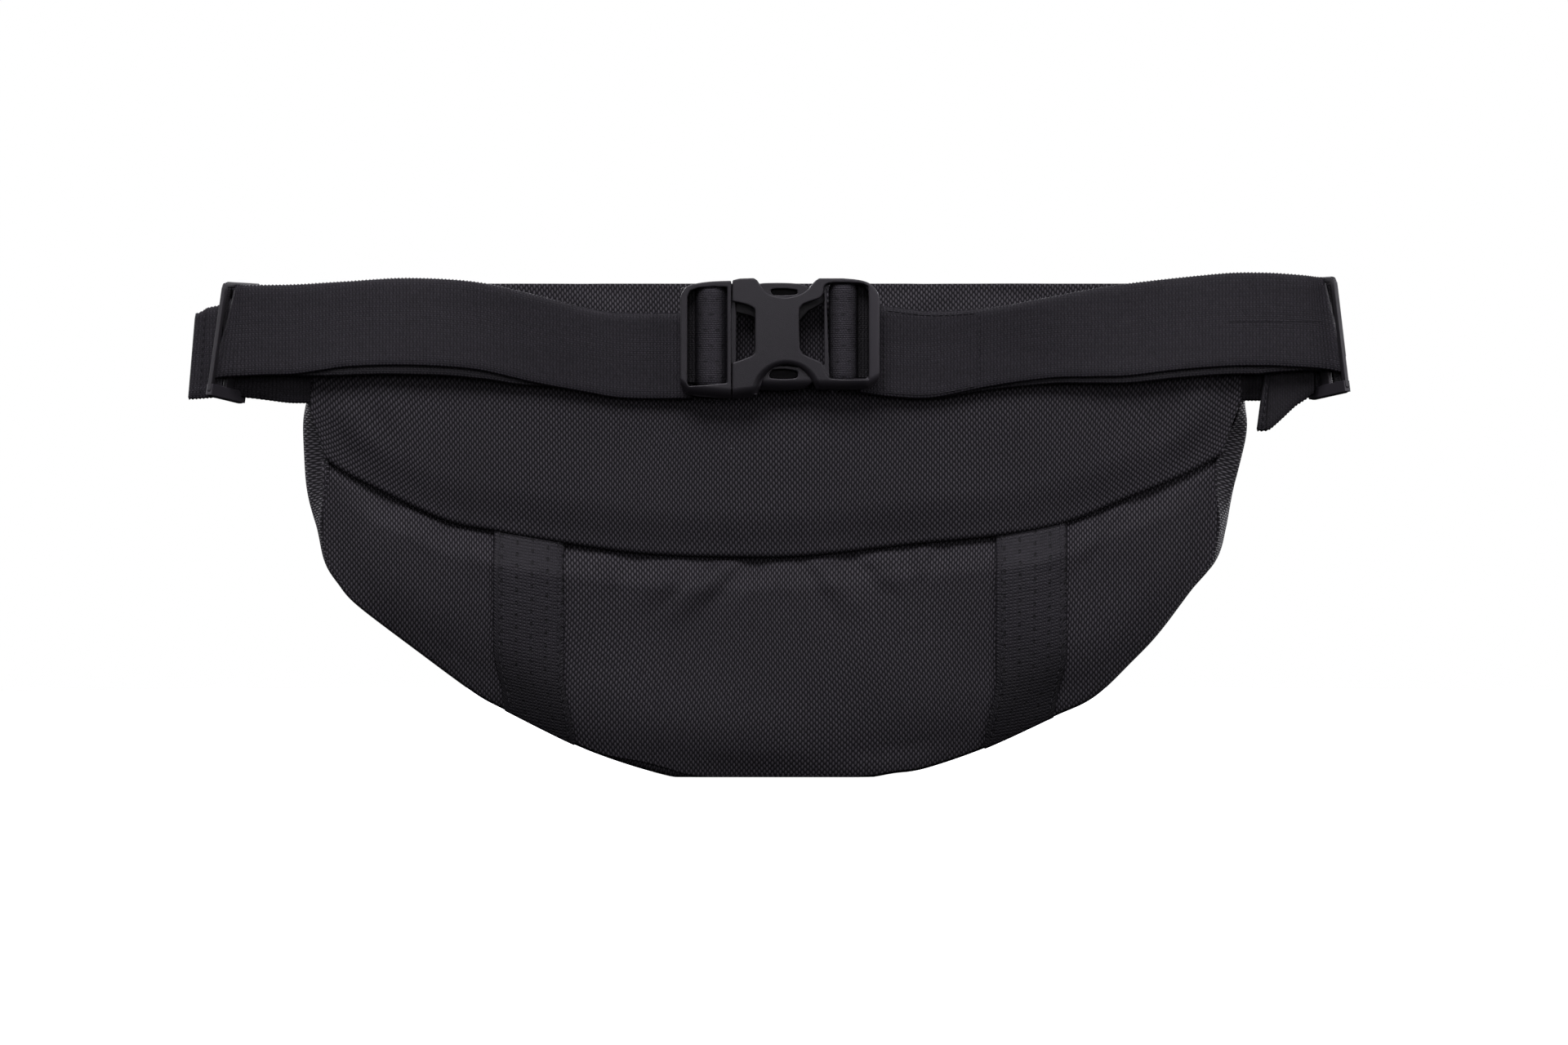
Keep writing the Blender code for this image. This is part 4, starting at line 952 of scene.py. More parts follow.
def zip_tapes(prefix, centre, lean, tape_half):
    for side, sign in (("upper", 1), ("lower", -1)):
        x = np.linspace(-tape_half, tape_half, 300)[None, :]
        across = sign * np.linspace(0.0005, TAPE_EDGE, 9)[:, None]
        proud = -0.00005 * np.ones_like(across) - 0.0002 * smooth_step((np.abs(across) - 0.010) / 0.003)
        outer = zip_place(x, across + 0 * x, proud + 0 * x, centre, lean)
        made = cloth_sheet(f"{prefix}_tape_{side}_cloth", outer, TAPE, 0.0005, flip=sign > 0)
        outward(soften_corners(made))
        place(made, "bag", "zip_tape", [f"{prefix}_tape_{side}"])
        line = zip_place(np.linspace(-tape_half + 0.01, tape_half - 0.01, 60), sign * 0.0042, 0.0001,
                         centre, lean)
        made = stitches(f"{prefix}_coil_stitching_{side}", [line], 0.0022, 0.0016, 0.0002, 5)
        place(soften_corners(made), "bag", "zip_tape")


def zip_coils(prefix, centre, lean, half):
    """Two nylon coils whose turns interlock."""
    pitch = 0.00135
    turns = int(2 * half / pitch)
    step = np.arange(turns * 10 + 1) / 10
    for side, sign, shift in (("upper", 1, 0.0), ("lower", -1, 0.5)):
        turn = 2 * math.pi * (step + shift)
        across = sign * (0.00115 - 0.00115 * np.cos(turn))
        proud = 0.00115 + 0.00062 * np.sin(turn)
        line = zip_place(-half + pitch * step, across, proud, centre, lean)
        made = tube(f"{prefix}_coil_{side}_turns", line, 0.00030, COIL, 5, hint=(1.0, 0.02, 0.03))
        soften_corners(made)
        place(made, "bag", "zip_coil", [f"{prefix}_coil_{side}"])


# ---------------------------------------------------------------- belt
def strand_wave(x, z, middle):
    """How far the free run of the belt stands off its plane, towards the eye."""
    run = np.clip((np.abs(x) - 0.048) / (0.204 - 0.048), 0.0, 1.0)
    bow = 0.0022 * np.sin(math.pi * run) ** 2
    twist = 0.05 * np.sin(2 * math.pi * run) * (z - middle)
    return bow + twist + 0.0003 * soft_noise(x, z, 0.03, 71) * np.sin(math.pi * run)


def strand_heights(table_rows, spacing=0.0005):
    """x, lower z and upper z along a strand, closely spaced."""
    curve = smooth_curve(table_rows, 6)
    order = np.argsort(curve[:, 0])
    curve = curve[order]
    x = np.arange(curve[0, 0], curve[-1, 0], spacing)
    return x, np.interp(x, curve[:, 0], curve[:, 1]), np.interp(x, curve[:, 0], curve[:, 2])


PROUD = np.array([0, -0.0002, 0])       # from a strap to the stitches on it
ACROSS = np.array([0, 0.012, 0.04, 0.10, 0.2, 0.35, 0.5, 0.65, 0.8, 0.90, 0.96, 0.988, 1])


def strap_grid(x, y, low, high):
    """Points (across, along, 3) of an upright strap with finely scalloped edges."""
    v = ACROSS[:, None]
    travelled = np.concatenate([[0], np.cumsum(np.hypot(np.diff(x), np.diff(low)))])
    scallop = 0.00016 * np.cos(2 * math.pi * travelled / 0.0015)
    z = mix(low[None], high[None], v)
    z = z + scallop[None] * ((v < 0.001) * -1.0 + (v > 0.999))
    lip = 0.00035 * smooth_step((np.abs(v - 0.5) - 0.47) / 0.03)
    return np.stack([x[None] + 0 * z, y + lip + 0 * z, z], -1), travelled


def strap_uv(points, travelled):
    return np.stack([travelled[None] + 0 * points[..., 0], lengths(points, 0)], -1)


def strand_bend(side):
    if side == "right":
        return None
    return ("belt", "buckle_male", (-0.200, OUTER_Y, BUCKLE_Z), (-0.040, OUTER_Y, BUCKLE_Z))


def strands():
    """The front strands: the nearer layer, and the layer behind it up to the loop."""
    for side, (sign, rows) in STRANDS.items():
        x, low, high = strand_heights(rows)
        middle = (low + high) / 2
        z = mix(low[None], high[None], ACROSS[:, None])
        slot = np.abs(SLOT_X[side] + END_LEAN[side] * (z - BUCKLE_Z))
        dip = 0.0056 * smooth_step((np.abs(x[None]) - slot + 0.0003) / 0.0012)
        y = OUTER_Y - strand_wave(x[None], z, middle[None]) + dip
        points, travelled = strap_grid(x, y, low, high)
        uv = strap_uv(points, travelled)
        end = smooth_step((np.abs(points[..., 0]) - 0.2180) / 0.012)
        points[..., 0] += END_LEAN[side] * end * (points[..., 2] - BUCKLE_Z)
        strand_slot(side, sign)
        place(cloth_sheet(f"{side}_strand_front", points, BELT_WEB, WEBBING, uv),
              "belt", "webbing", [f"{side}_strand_outer"], strand_bend(side))

        if side == "left":
            left_tail()
        else:
            near = (x > 0.0450) & (x < 0.0845)
            lines = [points[k][near][::6] + PROUD for k in (2, 10)]
            for k in (0.0450, 0.0845):
                across = np.argmin(np.abs(x - k))
                lines.append(points[2:11, across] + PROUD)
            columns = np.flatnonzero((x > 0.1860) & (x < 0.2285))[::6]
            height = 0.1894
            lines.append(np.array([
                [points[5, j, 0], np.interp(height, points[:, j, 2], points[:, j, 1]) - 0.00015, height]
                for j in columns]))
            place(stitches("right_strand_stitching", lines, 0.0026, 0.0019, 0.00022), "belt", "webbing")
        keep = np.abs(x) < abs(FOLD_X[side]) - 0.001
        x, low, high = x[keep], low[keep], high[keep]
        settle = smooth_step((np.abs(x) - abs(FOLD_X[side]) + 0.0085) / 0.0080)
        drop = table(SECOND_LAYER_DROP[side], x)
        low2 = mix(low - drop, FOLD_NEAR_LOW[side], settle)
        narrow = smooth_step((np.abs(x) - 0.200) / 0.010)
        high2 = mix(high - np.maximum(drop, 0.0) - 0.001, FOLD_Z[side][1], narrow)
        z = mix(low2[None], high2[None], ACROSS[:, None])
        y = INNER_Y - strand_wave(x[None], z, middle[keep][None])
        points, travelled = strap_grid(x, y, low2, high2)
        points = lean_end(points, side)
        made = cloth_sheet(f"{side}_strand_second", points, BELT_WEB_SHADE, WEBBING,
                           strap_uv(points, travelled))
        place(made, "belt", "webbing", [f"{side}_strand_inner"], strand_bend(side))
        strand_loop(side, sign)


def strand_slot(side, sign):
    """The shaded part of a strand that goes back through the slider's front slot; its dark colour is
    painted shade.
    """
    z = np.linspace(0.1612, 0.2036 if side == "left" else 0.2056, 50)[:, None]
    across = sign * np.linspace(-0.0006 if side == "left" else -0.0034, 0.0022, 10)[None, :]
    x = SLOT_X[side] + (across if sign > 0 else across[:, ::-1]) + END_LEAN[side] * (z - BUCKLE_Z)
    grid = np.stack([x, OUTER_Y + 0.0042 + 0 * x, z + 0 * x], -1)
    place(cloth_sheet(f"{side}_strand_in_slot", grid, LOOP_WEB_SHADE, 0.0006), "belt", "webbing")


def left_tail():
    """Spare end of the left strand, out past the slider, with one row of stitches."""
    x, low, high = smooth_curve(LEFT_TAIL, 14).T
    points, travelled = strap_grid(x, OUTER_Y + 0.0030 + 0 * x[None], low, high)
    slant = 0.083 * smooth_step((-0.2350 - points[..., 0]) / 0.006)
    points[..., 0] += slant * (points[..., 2] - 0.1574)
    corner = bump((points[..., 0] + 0.2432 - 0.0030) / 0.0040) \
        * smooth_step((points[..., 2] - 0.1900) / 0.004)
    points[..., 2] -= 0.0012 * corner
    place(cloth_sheet("left_tail_cloth", points, BELT_WEB, WEBBING, strap_uv(points, travelled)),
          "belt", "webbing", ["left_strand_outer"])
    across = np.argmin(np.abs(points[6, :, 0] + 0.2376))
    place(stitches("left_tail_stitching", [points[1:-1, across] + PROUD]), "belt", "webbing")


def lean_end(points, side):
    """Leans the turned end of a belt loop like the slider it passes through."""
    amount = END_LEAN[side] * smooth_step((np.abs(points[..., 0]) - 0.206) / 0.018)
    points[..., 0] += amount * (points[..., 2] - BUCKLE_Z)
    return points


def strand_loop(side, sign):
    """The turn round the slider's end, and the run back to the bag's side seam."""
    end = FOLD_X[side]
    centre_y = (INNER_Y + REAR_Y) / 2
    radius = (REAR_Y - INNER_Y) / 2
    turn = np.linspace(0, math.pi, 30)
    fold = [(end + sign * radius * math.sin(a), centre_y - radius * math.cos(a)) for a in turn]
    anchor = ANCHOR_X[side] + sign * 0.0033
    run = [(mix(end, sign * 0.1895, t), REAR_Y) for t in np.linspace(0.02, 1, 70)]
    rear_bend = ("bag", "belt", (anchor, REAR_Y, 0.18), (sign * 0.2165, REAR_Y, 0.18))
    for part, line, bend in (("turn", fold, None), ("rear", run, rear_bend)):
        line = np.array(line)
        settle = np.zeros(len(line)) if part == "turn" else smooth_step(np.linspace(0, 1, len(line)) / 0.7)
        low = mix(FOLD_Z[side][0], REAR_Z[side][0], settle)
        if part == "turn":
            low = mix(FOLD_NEAR_LOW[side], FOLD_Z[side][0], smooth_step(np.linspace(-0.5, 1.2, len(line))))
        high = mix(FOLD_Z[side][1], REAR_Z[side][1], settle)
        points, _ = strap_grid(line[:, 0], line[:, 1][None], low, high)
        points = lean_end(points, side)
        travelled = distance_along(line)
        material = BELT_WEB_SHADE if side == "right" else BELT_WEB
        made = cloth_sheet(f"{side}_strand_{part}", points, material, WEBBING,
                           strap_uv(points, travelled), flip=sign < 0)
        outward(made)
        place(made, "belt", "webbing", [f"{side}_strand_inner"], bend)


def right_tail():
    """Spare end of the right strand, hemmed, hanging behind the belt."""
    stations = smooth_curve([(0.2236, 0.1596, 0.1950), (0.2190, 0.1566, 0.1940), (0.2157, 0.1543, 0.1925),
                             (0.2099, 0.1488, 0.1890), (0.2050, 0.1448, 0.1860), (0.2012, 0.1444, 0.1840)],
                            12)[::-1]
    x, low, high = stations.T
    y = -0.0331 + 0.0005 * np.sin((x - 0.2012) / 0.0224 * math.pi)
    points, travelled = strap_grid(x, y[None], low, high)
    slant = smooth_step((0.206 - points[..., 0]) / 0.004)
    points[..., 0] += slant * 0.13 * (points[..., 2] - 0.150)
    place(cloth_sheet("right_tail_cloth", points, BELT_WEB_SHADE, WEBBING, strap_uv(points, travelled)),
          "right_triglide", "webbing", ["right_tail"])
    hem = points[:, :9].copy()
    hem[..., 1] -= 0.0013
    hem[..., 0] -= 0.0002
    place(cloth_sheet("right_tail_hem", hem, BELT_WEB_SHADE, WEBBING, strap_uv(hem, travelled[:9])),
          "right_triglide", "webbing")
    place(stitches("right_tail_stitching", [hem[:, 6] + PROUD]), "right_triglide", "webbing")


def anchors():
    """Folded tabs in the side seams that hold the rear strands."""
    for k, (side, x) in enumerate(ANCHOR_X.items()):
        sign = -1 if side == "left" else 1
        z = np.linspace(REAR_Z[side][0] + 0.0006, REAR_Z[side][1] - 0.0006, 50)[:, None]
        inner = edge_x(z)[k] - sign * 0.0006
        span = columns_of(24)
        grid = mix(inner, x + sign * 0.0032, span if sign > 0 else span[:, ::-1])
        y = -0.0277 + 0.0008 * (np.abs(2 * span - 1) ** 4)
        points = np.stack([grid, y + 0 * grid, z + 0 * grid], -1)
        place(cloth_sheet(f"side_anchor_{side}_tab", points, BELT_WEB, 0.0020),
              "bag", "webbing", [f"side_anchor_{side}"])


def web_loop(name, bar, low_z, high_z, body):
    """Webbing wrapped round a web bar, its face full and rounded."""
    x0, x1 = bar
    front_y, back_y = -0.0492, -0.0412
    centre = np.array([(x0 + x1) / 2, (front_y + back_y) / 2])
    half = np.array([(x1 - x0) / 2 + 0.0013, (back_y - front_y) / 2])
    angle = np.linspace(0, 2 * math.pi, 97)[:-1]
    power = 0.95
    section = np.stack([np.sign(np.cos(angle)) * np.abs(np.cos(angle)) ** power,
                        np.sign(np.sin(angle)) * np.abs(np.sin(angle)) ** power], -1)
    v = np.array([0, 0.006, 0.02, 0.06, 0.15, 0.3, 0.5, 0.7, 0.85, 0.94, 0.98, 0.994, 1.0])[:, None]
    edge = 1 - 0.10 * smooth_step((np.abs(v - 0.5) - 0.47) / 0.03)
    z = mix(low_z, high_z, v) + 0 * angle[None]
    scallop = 0.00014 * np.cos(2 * math.pi * angle * half.mean() / 0.0015)
    z = z + scallop[None] * ((v < 0.001) * -1.0 + (v > 0.999))
    shells = []
    for inset in (0.0, WEBBING):
        plan = centre + section[None] * (half - inset) * (edge[..., None] if not inset else 1.0)
        shells.append(np.concatenate([plan + 0 * z[..., None], z[..., None]], -1))
    travelled = lengths(np.concatenate([shells[0], shells[0][:, :1]], 1), 1)[:, :-1]
    front = travelled[:, [72]]
    uv = np.stack([travelled - front, z], -1)
    made = ring_sheet(f"{name}_cloth", shells[0], shells[1], LOOP_WEB, uv)
    outward(made)
    place(made, body, "webbing", [name])
    # The webbing leaves the loop's outer side and runs back behind the frame's end; its dark colour is
    # painted shade.
    sign = -1 if x0 < 0 else 1
    across = columns_of(16)
    start = (x0 if sign < 0 else x1) + sign * 0.0002
    rise = np.linspace(low_z + 0.0006, high_z - 0.0004, 60)[:, None]
    leg_x = mix(start, start + sign * 0.0068, across if sign > 0 else across[:, ::-1])
    leg_y = -0.0436 + 0.0011 * np.abs(leg_x - start) / 0.0068
    leg = np.stack([leg_x + 0 * rise, leg_y + 0 * rise, rise + 0 * leg_x], -1)
    place(cloth_sheet(f"{name}_leg", leg, LOOP_WEB_SHADE, 0.0008), body, "webbing")


# ---------------------------------------------------------------- buckle and sliders
def prism(work, outline, depth, holes=()):
    """Adds a closed prism of an (x, z) outline in mm with holes to a bmesh, between two y."""
    loops = [outline, *holes]
    flat = [Vector((x, z, 0)) for loop in loops for x, z in loop]
    layers = [[work.verts.new((p.x * MM, y * MM, p.y * MM)) for p in flat] for y in depth]
    for triangle in tessellate_polygon([[Vector((x, z, 0)) for x, z in loop] for loop in loops]):
        for layer in layers:
            work.faces.new([layer[i] for i in triangle])
    first = 0
    for loop in loops:
        ring = list(range(first, first + len(loop)))
        for i, j in zip(ring, ring[1:] + ring[:1]):
            work.faces.new((layers[0][i], layers[0][j], layers[1][j], layers[1][i]))
        first += len(loop)


def moulded(name, prisms, material, voxel=0.00028, passes=4, shape=None):
    """Prisms melted into one smooth moulding; shape then moves its points."""
    work = bmesh.new()
    for outline, depth, *holes in prisms:
        part = bmesh.new()
        prism(part, outline, depth, holes)
        bmesh.ops.recalc_face_normals(part, faces=part.faces)
        mesh = bpy.data.meshes.new("part")
        part.to_mesh(mesh)
        part.free()
        work.from_mesh(mesh)
        bpy.data.meshes.remove(mesh)
    mesh = bpy.data.meshes.new(name + "_rough")
    work.to_mesh(mesh)
    work.free()
    rough = add_object(name + "_rough", mesh)
    melt = rough.modifiers.new("melt", "REMESH")
    melt.mode = "VOXEL"
    melt.voxel_size = voxel
    soften = rough.modifiers.new("soften", "SMOOTH")
    soften.factor = 0.5
    soften.iterations = passes
    depsgraph = bpy.context.evaluated_depsgraph_get()
    final = bpy.data.meshes.new_from_object(rough.evaluated_get(depsgraph))
    bpy.data.objects.remove(rough)
    if shape:
        final.vertices.foreach_set("co", shape(mesh_points(final)).ravel())
    final.name = name
    final.materials.clear()
    final.materials.append(material)
    final.shade_smooth()
    return add_object(name, final)


def plastic_piece(body, nodes, *moulding, **options):
    """A moulding in its place; the rest is what moulded takes."""
    return place(moulded(*moulding, **options), body, "buckle_plastic", nodes)


def curve_mm(points, steps=4):
    return [tuple(p) for p in smooth_curve(points, steps)]


RECESS_TOP = curve_mm([(-9.2, 206.9), (-7.6, 205.9), (-6.4, 204.0), (-4.4, 201.6), (-1.5, 199.8),
                       (4.4, 198.9), (9.6, 200.1), (13.4, 202.4), (15.9, 205.4), (17.8, 206.8)])
RECESS_BOTTOM = curve_mm([(16.8, 161.0), (15.9, 162.8), (14.3, 165.7), (11.0, 169.2), (7.0, 170.9),
                          (2.0, 170.9), (-2.0, 169.2), (-5.0, 165.7), (-6.2, 162.4), (-7.6, 159.0)])
LEFT_WINDOW = curve_mm([(-17.9, 172.0), (-15.6, 172.6), (-12.0, 174.0), (-9.4, 175.2), (-8.5, 177.2),
                        (-8.5, 185.0), (-8.5, 192.8), (-9.3, 194.6), (-11.6, 195.8), (-14.5, 196.6),
                        (-17.9, 197.3)])
RIGHT_OPENING = curve_mm([(9.6, 185.0), (9.6, 193.0), (10.4, 195.2), (12.4, 196.6), (18.0, 198.6),
                          (19.4, 200.4), (19.9, 203.2), (21.4, 204.6), (24.8, 205.0), (33.9, 204.8),
                          (37.4, 203.8), (38.3, 201.4), (38.4, 185.0), (38.5, 166.4), (37.4, 165.2),
                          (24.2, 165.3), (21.5, 166.6), (19.8, 169.6), (18.6, 172.2), (11.6, 175.4),
                          (9.9, 178.0)])


def roll_under(points, edge_z, height, amount):
    """Rolls the front face back below edge_z + height."""
    depth = np.clip((edge_z + height - points[:, 2] / MM) / height, 0.0, 1.0)
    front = np.clip((-43.0 - points[:, 1] / MM) / 6.0, 0.0, 1.0)
    points[:, 1] += amount * MM * depth**2 * front
    return points


def female_shape(points):
    x, z = points[:, 0] / MM, points[:, 2] / MM
    low = np.interp(x, [-18, -8, 17, 27, 38, 43], [157.2, 158.6, 161.0, 160.9, 161.3, 164.0])
    points = roll_under(points, low, 4.2, 2.6)
    radius = np.hypot(x - 4.4, (z - 159.0) * 1.02)
    rim = np.clip((14.6 - radius) / 2.6, 0.0, 1.0) * (z < 175) * (z > 159)
    front = np.clip((-45.0 - points[:, 1] / MM) / 4.0, 0.0, 1.0)
    points[:, 1] += 1.7 * MM * rim**2 * front
    crown = 0.45 * np.clip(1 - ((z - 184) / 26) ** 2, 0, 1)
    points[:, 1] -= crown * MM * front
    points[:, 1] -= 0.5 * MM * np.clip((x - 38.4) / 3.6, 0.0, 1.0) * front
    return points


def buckle_female():
    top = [(-17.9, 206.0), (-15.0, 206.7)]
    right = curve_mm([(27.7, 206.8), (34.0, 206.2), (38.4, 204.9), (41.2, 202.4), (42.6, 199.2),
                      (42.8, 196.0), (42.8, 185.0), (42.8, 168.0), (42.2, 164.8), (40.4, 162.5),
                      (37.0, 161.1), (27.0, 160.8)])
    outline = top + RECESS_TOP + right + RECESS_BOTTOM + [(-11.0, 157.8), (-17.9, 157.0)] + LEFT_WINDOW
    front = (-50.0, -47.2)
    walls = (-47.6, -42.6)
    frame_wall = [(20.0, 206.4), (36.4, 205.4), (41.0, 201.4), (42.2, 196.0), (42.2, 168.0),
                  (40.4, 163.6), (36.4, 161.6), (20.0, 161.4)]
    frame_hole = [(20.8, 204.4), (36.4, 204.2), (38.7, 201.0), (38.8, 167.0), (37.2, 165.6), (22.2, 165.7)]
    back_plate = [(-17.4, 205.4), (-9.6, 206.2), (-5.6, 202.0), (-3.0, 200.6), (4.4, 199.7), (11.4, 201.6),
                  (17.0, 206.0), (21.0, 206.0), (21.0, 197.6), (13.4, 193.4), (9.9, 189.4), (9.9, 175.4),
                  (13.4, 169.8), (21.0, 165.0), (21.0, 160.4), (17.0, 160.6), (13.8, 166.4), (8.0, 171.4),
                  (1.0, 171.4), (-4.6, 167.4), (-6.6, 161.4), (-9.4, 158.8), (-17.4, 158.0), (-17.4, 171.4),
                  (-10.4, 174.4), (-8.9, 177.4), (-8.9, 190.6), (-10.4, 191.4), (-17.4, 193.2)]
    column = [(-7.8, 174.4), (8.8, 174.4), (8.8, 194.0), (-7.8, 194.0)]
    ends = [[(18.5, 202.2), (21.5, 202.2), (21.5, 206.2), (18.5, 206.2)],
            [(18.5, 161.0), (21.5, 161.0), (21.5, 165.0), (18.5, 165.0)]]
    mouths = [[(-17.4, 204.4), (-9.2, 205.2), (-9.2, 206.6), (-17.4, 206.2)],
              [(-17.4, 157.6), (-9.2, 158.4), (-9.2, 160.0), (-17.4, 159.0)]]
    bar = [(22.6, 162.4), (33.0, 162.4), (33.0, 204.8), (22.6, 204.8)]
    prisms = [(outline, front, RIGHT_OPENING), (frame_wall, walls, frame_hole),
              (column, (-47.6, -40.2)), (bar, (-46.6, -43.6))]
    prisms += [(end, (-47.6, -40.2)) for end in ends + mouths]
    plastic_piece("belt", ["buckle_female"], "buckle_female_body", prisms, PLASTIC_FEMALE,
                  shape=female_shape)
    # The back plate is coloured darker: painted shade under the front plate.
    plastic_piece("belt", ["buckle_female"], "buckle_female_back", [(back_plate, (-40.6, -38.0))],
                  PLASTIC_BACK_SHADE, 0.00034, 3)


def male_shape(points):
    low = np.interp(points[:, 0] / MM, [-39.4, -36, -18], [162.0, 159.0, 157.3])
    return roll_under(points, low, 4.2, 2.6)


def buckle_male():
    outline = curve_mm([(-18.4, 205.8), (-25.0, 205.6), (-31.0, 205.0), (-36.4, 203.6), (-39.0, 200.2),
                        (-39.4, 196.0), (-39.4, 184.0), (-39.4, 166.0), (-39.0, 162.4), (-37.4, 159.8),
                        (-33.6, 158.3), (-26.0, 157.6), (-18.4, 157.2)])
    window = [(-20.0, 203.2), (-26.0, 203.3), (-32.0, 202.9), (-35.4, 201.6), (-36.5, 199.0),
              (-36.6, 163.6), (-35.8, 162.3), (-20.0, 163.6)]
    bar = [(-32.0, 161.0), (-20.8, 161.0), (-20.8, 204.4), (-32.0, 204.4)]
    base = [(-20.2, 161.2), (-16.3, 161.2), (-16.3, 204.2), (-20.2, 204.2)]
    prisms = [(outline, (-50.0, -42.6), window), (bar, (-46.6, -43.6)), (base, (-47.0, -41.8))]
    plastic_piece("buckle_male", ["buckle_male"], "buckle_male_body", prisms, PLASTIC, shape=male_shape)


PRONG_HEADS = {
    "upper": (1, [(-15.7, 16.3), (-15.7, 19.9), (-9.0, 20.2), (-7.0, 21.6), (-5.2, 22.2), (4.0, 22.3),
                  (11.2, 21.6), (14.2, 19.4), (16.4, 17.6), (16.4, 16.2), (11.0, 15.4), (-6.0, 15.4)],
              [(-2.0, 18.6), (-1.6, 19.7), (3.0, 20.0), (8.3, 19.5), (8.9, 18.6), (8.3, 17.6), (3.0, 17.2),
               (-1.2, 17.3)]),
    "lower": (-1, [(-15.7, 16.3), (-15.7, 19.9), (-9.0, 20.2), (-7.0, 21.4), (-5.0, 21.9), (4.0, 22.0),
                   (11.0, 21.4), (14.2, 19.6), (16.4, 17.4), (16.4, 15.0), (11.0, 12.9), (6.0, 12.1),
                   (-1.0, 12.2), (-5.0, 13.6)],
              [(-2.6, 15.4), (-2.2, 17.0), (3.0, 17.4), (8.4, 17.0), (9.1, 15.2), (8.2, 14.0), (3.0, 13.3),
               (-1.6, 13.7)]),
}


def lower_head_shape(points):
    return roll_under(points, 160.6 + 0 * points[:, 0], 4.6, 4.2)


def prongs():
    """Sprung prongs: an arm inside the female half and a head with a blind slot in its recess."""
    for name, (sign, arm, slot) in PRONG_HEADS.items():
        outline = [(x, BUCKLE_Z / MM + sign * h) for x, h in curve_mm(arm, 3)]
        hole = [(x, BUCKLE_Z / MM + sign * h) for x, h in curve_mm(slot, 3)]
        shape = lower_head_shape if name == "lower" else None
        body = f"prong_{name}"
        plastic_piece(body, [body], f"{body}_arm", [(outline, (-47.4, -41.9), hole)],
                      PLASTIC, 0.00026, 3, shape)
        # Each slot is closed behind by a floor piece in near-black plastic: painted shade in the slot.
        centre = np.mean(hole, axis=0)
        floor_line = [tuple(centre + 1.06 * (np.array(p) - centre)) for p in hole]
        plastic_piece(body, (), f"{body}_slot_floor", [(floor_line, (-43.4, -42.2))],
                      PLASTIC_SHADE, 0.00026, 2)


SLIDERS = {"left": (-0.2248, 0.1571, 0.2056), "right": (0.2270, 0.1586, 0.2078)}


def triglides():
    """Sliders turned so that their rear ends point inwards, leaning out at the foot."""
    for side, (x, z0, z1) in SLIDERS.items():
        z0, z1 = z0 / MM, z1 / MM
        y0, y1 = -48.0, -22.5
        frame_loop = [(y0 + 2.0, z0), (y1 - 2.0, z0), (y1 - 0.5, z0 + 0.6), (y1, z0 + 2.5), (y1, z1 - 2.5),
                      (y1 - 0.5, z1 - 0.6), (y1 - 2.0, z1), (y0 + 2.0, z1), (y0 + 0.5, z1 - 0.6),
                      (y0, z1 - 2.5), (y0, z0 + 2.5), (y0 + 0.5, z0 + 0.6)]
        front_slot = [(y0 + 2.1, z0 + 4.6), (-37.3, z0 + 4.6), (-37.3, z1 - 2.4), (y0 + 2.1, z1 - 2.4)]
        rear_slot = [(-31.8, z0 + 4.6), (y1 - 2.6, z0 + 4.6), (y1 - 2.6, z1 - 2.4), (-31.8, z1 - 2.4)]
        centre_y = (y0 + y1) / 2 * MM
        yaw = SLIDER_YAW[side]

        def turn(points, x=x, centre_y=centre_y, yaw=yaw, lean=END_LEAN[side], z0=z0 * MM):
            """The prism is drawn in (y, z) along x; turned about its middle, then leaned."""
            along, depth = points[:, 0] - centre_y, points[:, 1]
            foot = np.clip((z0 + 0.009 - points[:, 2]) / 0.005, 0.0, 1.0)
            points[:, 2] += foot * (0.0012 - 0.0030 * (along / 0.0255 + 0.5))
            turned_x = x + depth * math.cos(yaw) - along * math.sin(yaw)
            turned_y = centre_y + depth * math.sin(yaw) + along * math.cos(yaw)
            turned_x = turned_x + lean * (points[:, 2] - BUCKLE_Z)
            return np.stack([turned_x, turned_y, points[:, 2]], -1)

        foot = [(y0 + 0.2, z0 + 0.4), (y1 - 0.4, z0 + 0.4), (y1 - 0.4, z0 + 4.6), (y0 + 0.2, z0 + 5.4)]
        body = (frame_loop, (-0.95, 0.95), front_slot, rear_slot)
        # The foot is a separate piece in paler plastic: a painted highlight on the slider's lit lower face.
        for name, prisms, material in (("body", [body], PLASTIC),
                                       ("foot", [(foot, (-1.5, 1.5))], PLASTIC_PAINTED_HIGHLIGHT)):
            made = moulded(f"{side}_triglide_{name}", prisms, material, 0.00030, 3, turn)
            outward(made)
            place(made, f"{side}_triglide", "buckle_plastic", [f"{side}_triglide"])


# ---------------------------------------------------------------- carried-over nodes
def finish_nodes():
    """Materials for the frame's own nodes that stay as they are."""
    kept = {
        "main_lining": LINING, "binding_back": LINING, "binding_front": LINING,
        "main_zip_stop_left": METAL, "main_zip_stop_right": METAL,
        "pocket_zip_stop_left": METAL, "pocket_zip_stop_right": METAL,
        "main_zip_slider": METAL, "main_zip_pull": METAL,
        "pocket_zip_slider": METAL, "pocket_zip_pull": METAL,
    }
    for name, material in kept.items():
        for material_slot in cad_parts[name].material_slots:
            material_slot.material = material


# ---------------------------------------------------------------- camera, floor and light
EYE_DISTANCE = 2.4
VIEW_WIDTH = 0.651           # width of the picture at the belt's plane


def camera():
    eye = add_object("camera", bpy.data.cameras.new("camera"))
    eye.location = (0.0034, -(EYE_DISTANCE + 0.035), 0.1060)
    eye.rotation_euler = (math.pi / 2, 0, 0)
    eye.data.sensor_width = 36.0
    eye.data.lens = 36.0 * EYE_DISTANCE / VIEW_WIDTH
    bpy.context.scene.camera = eye


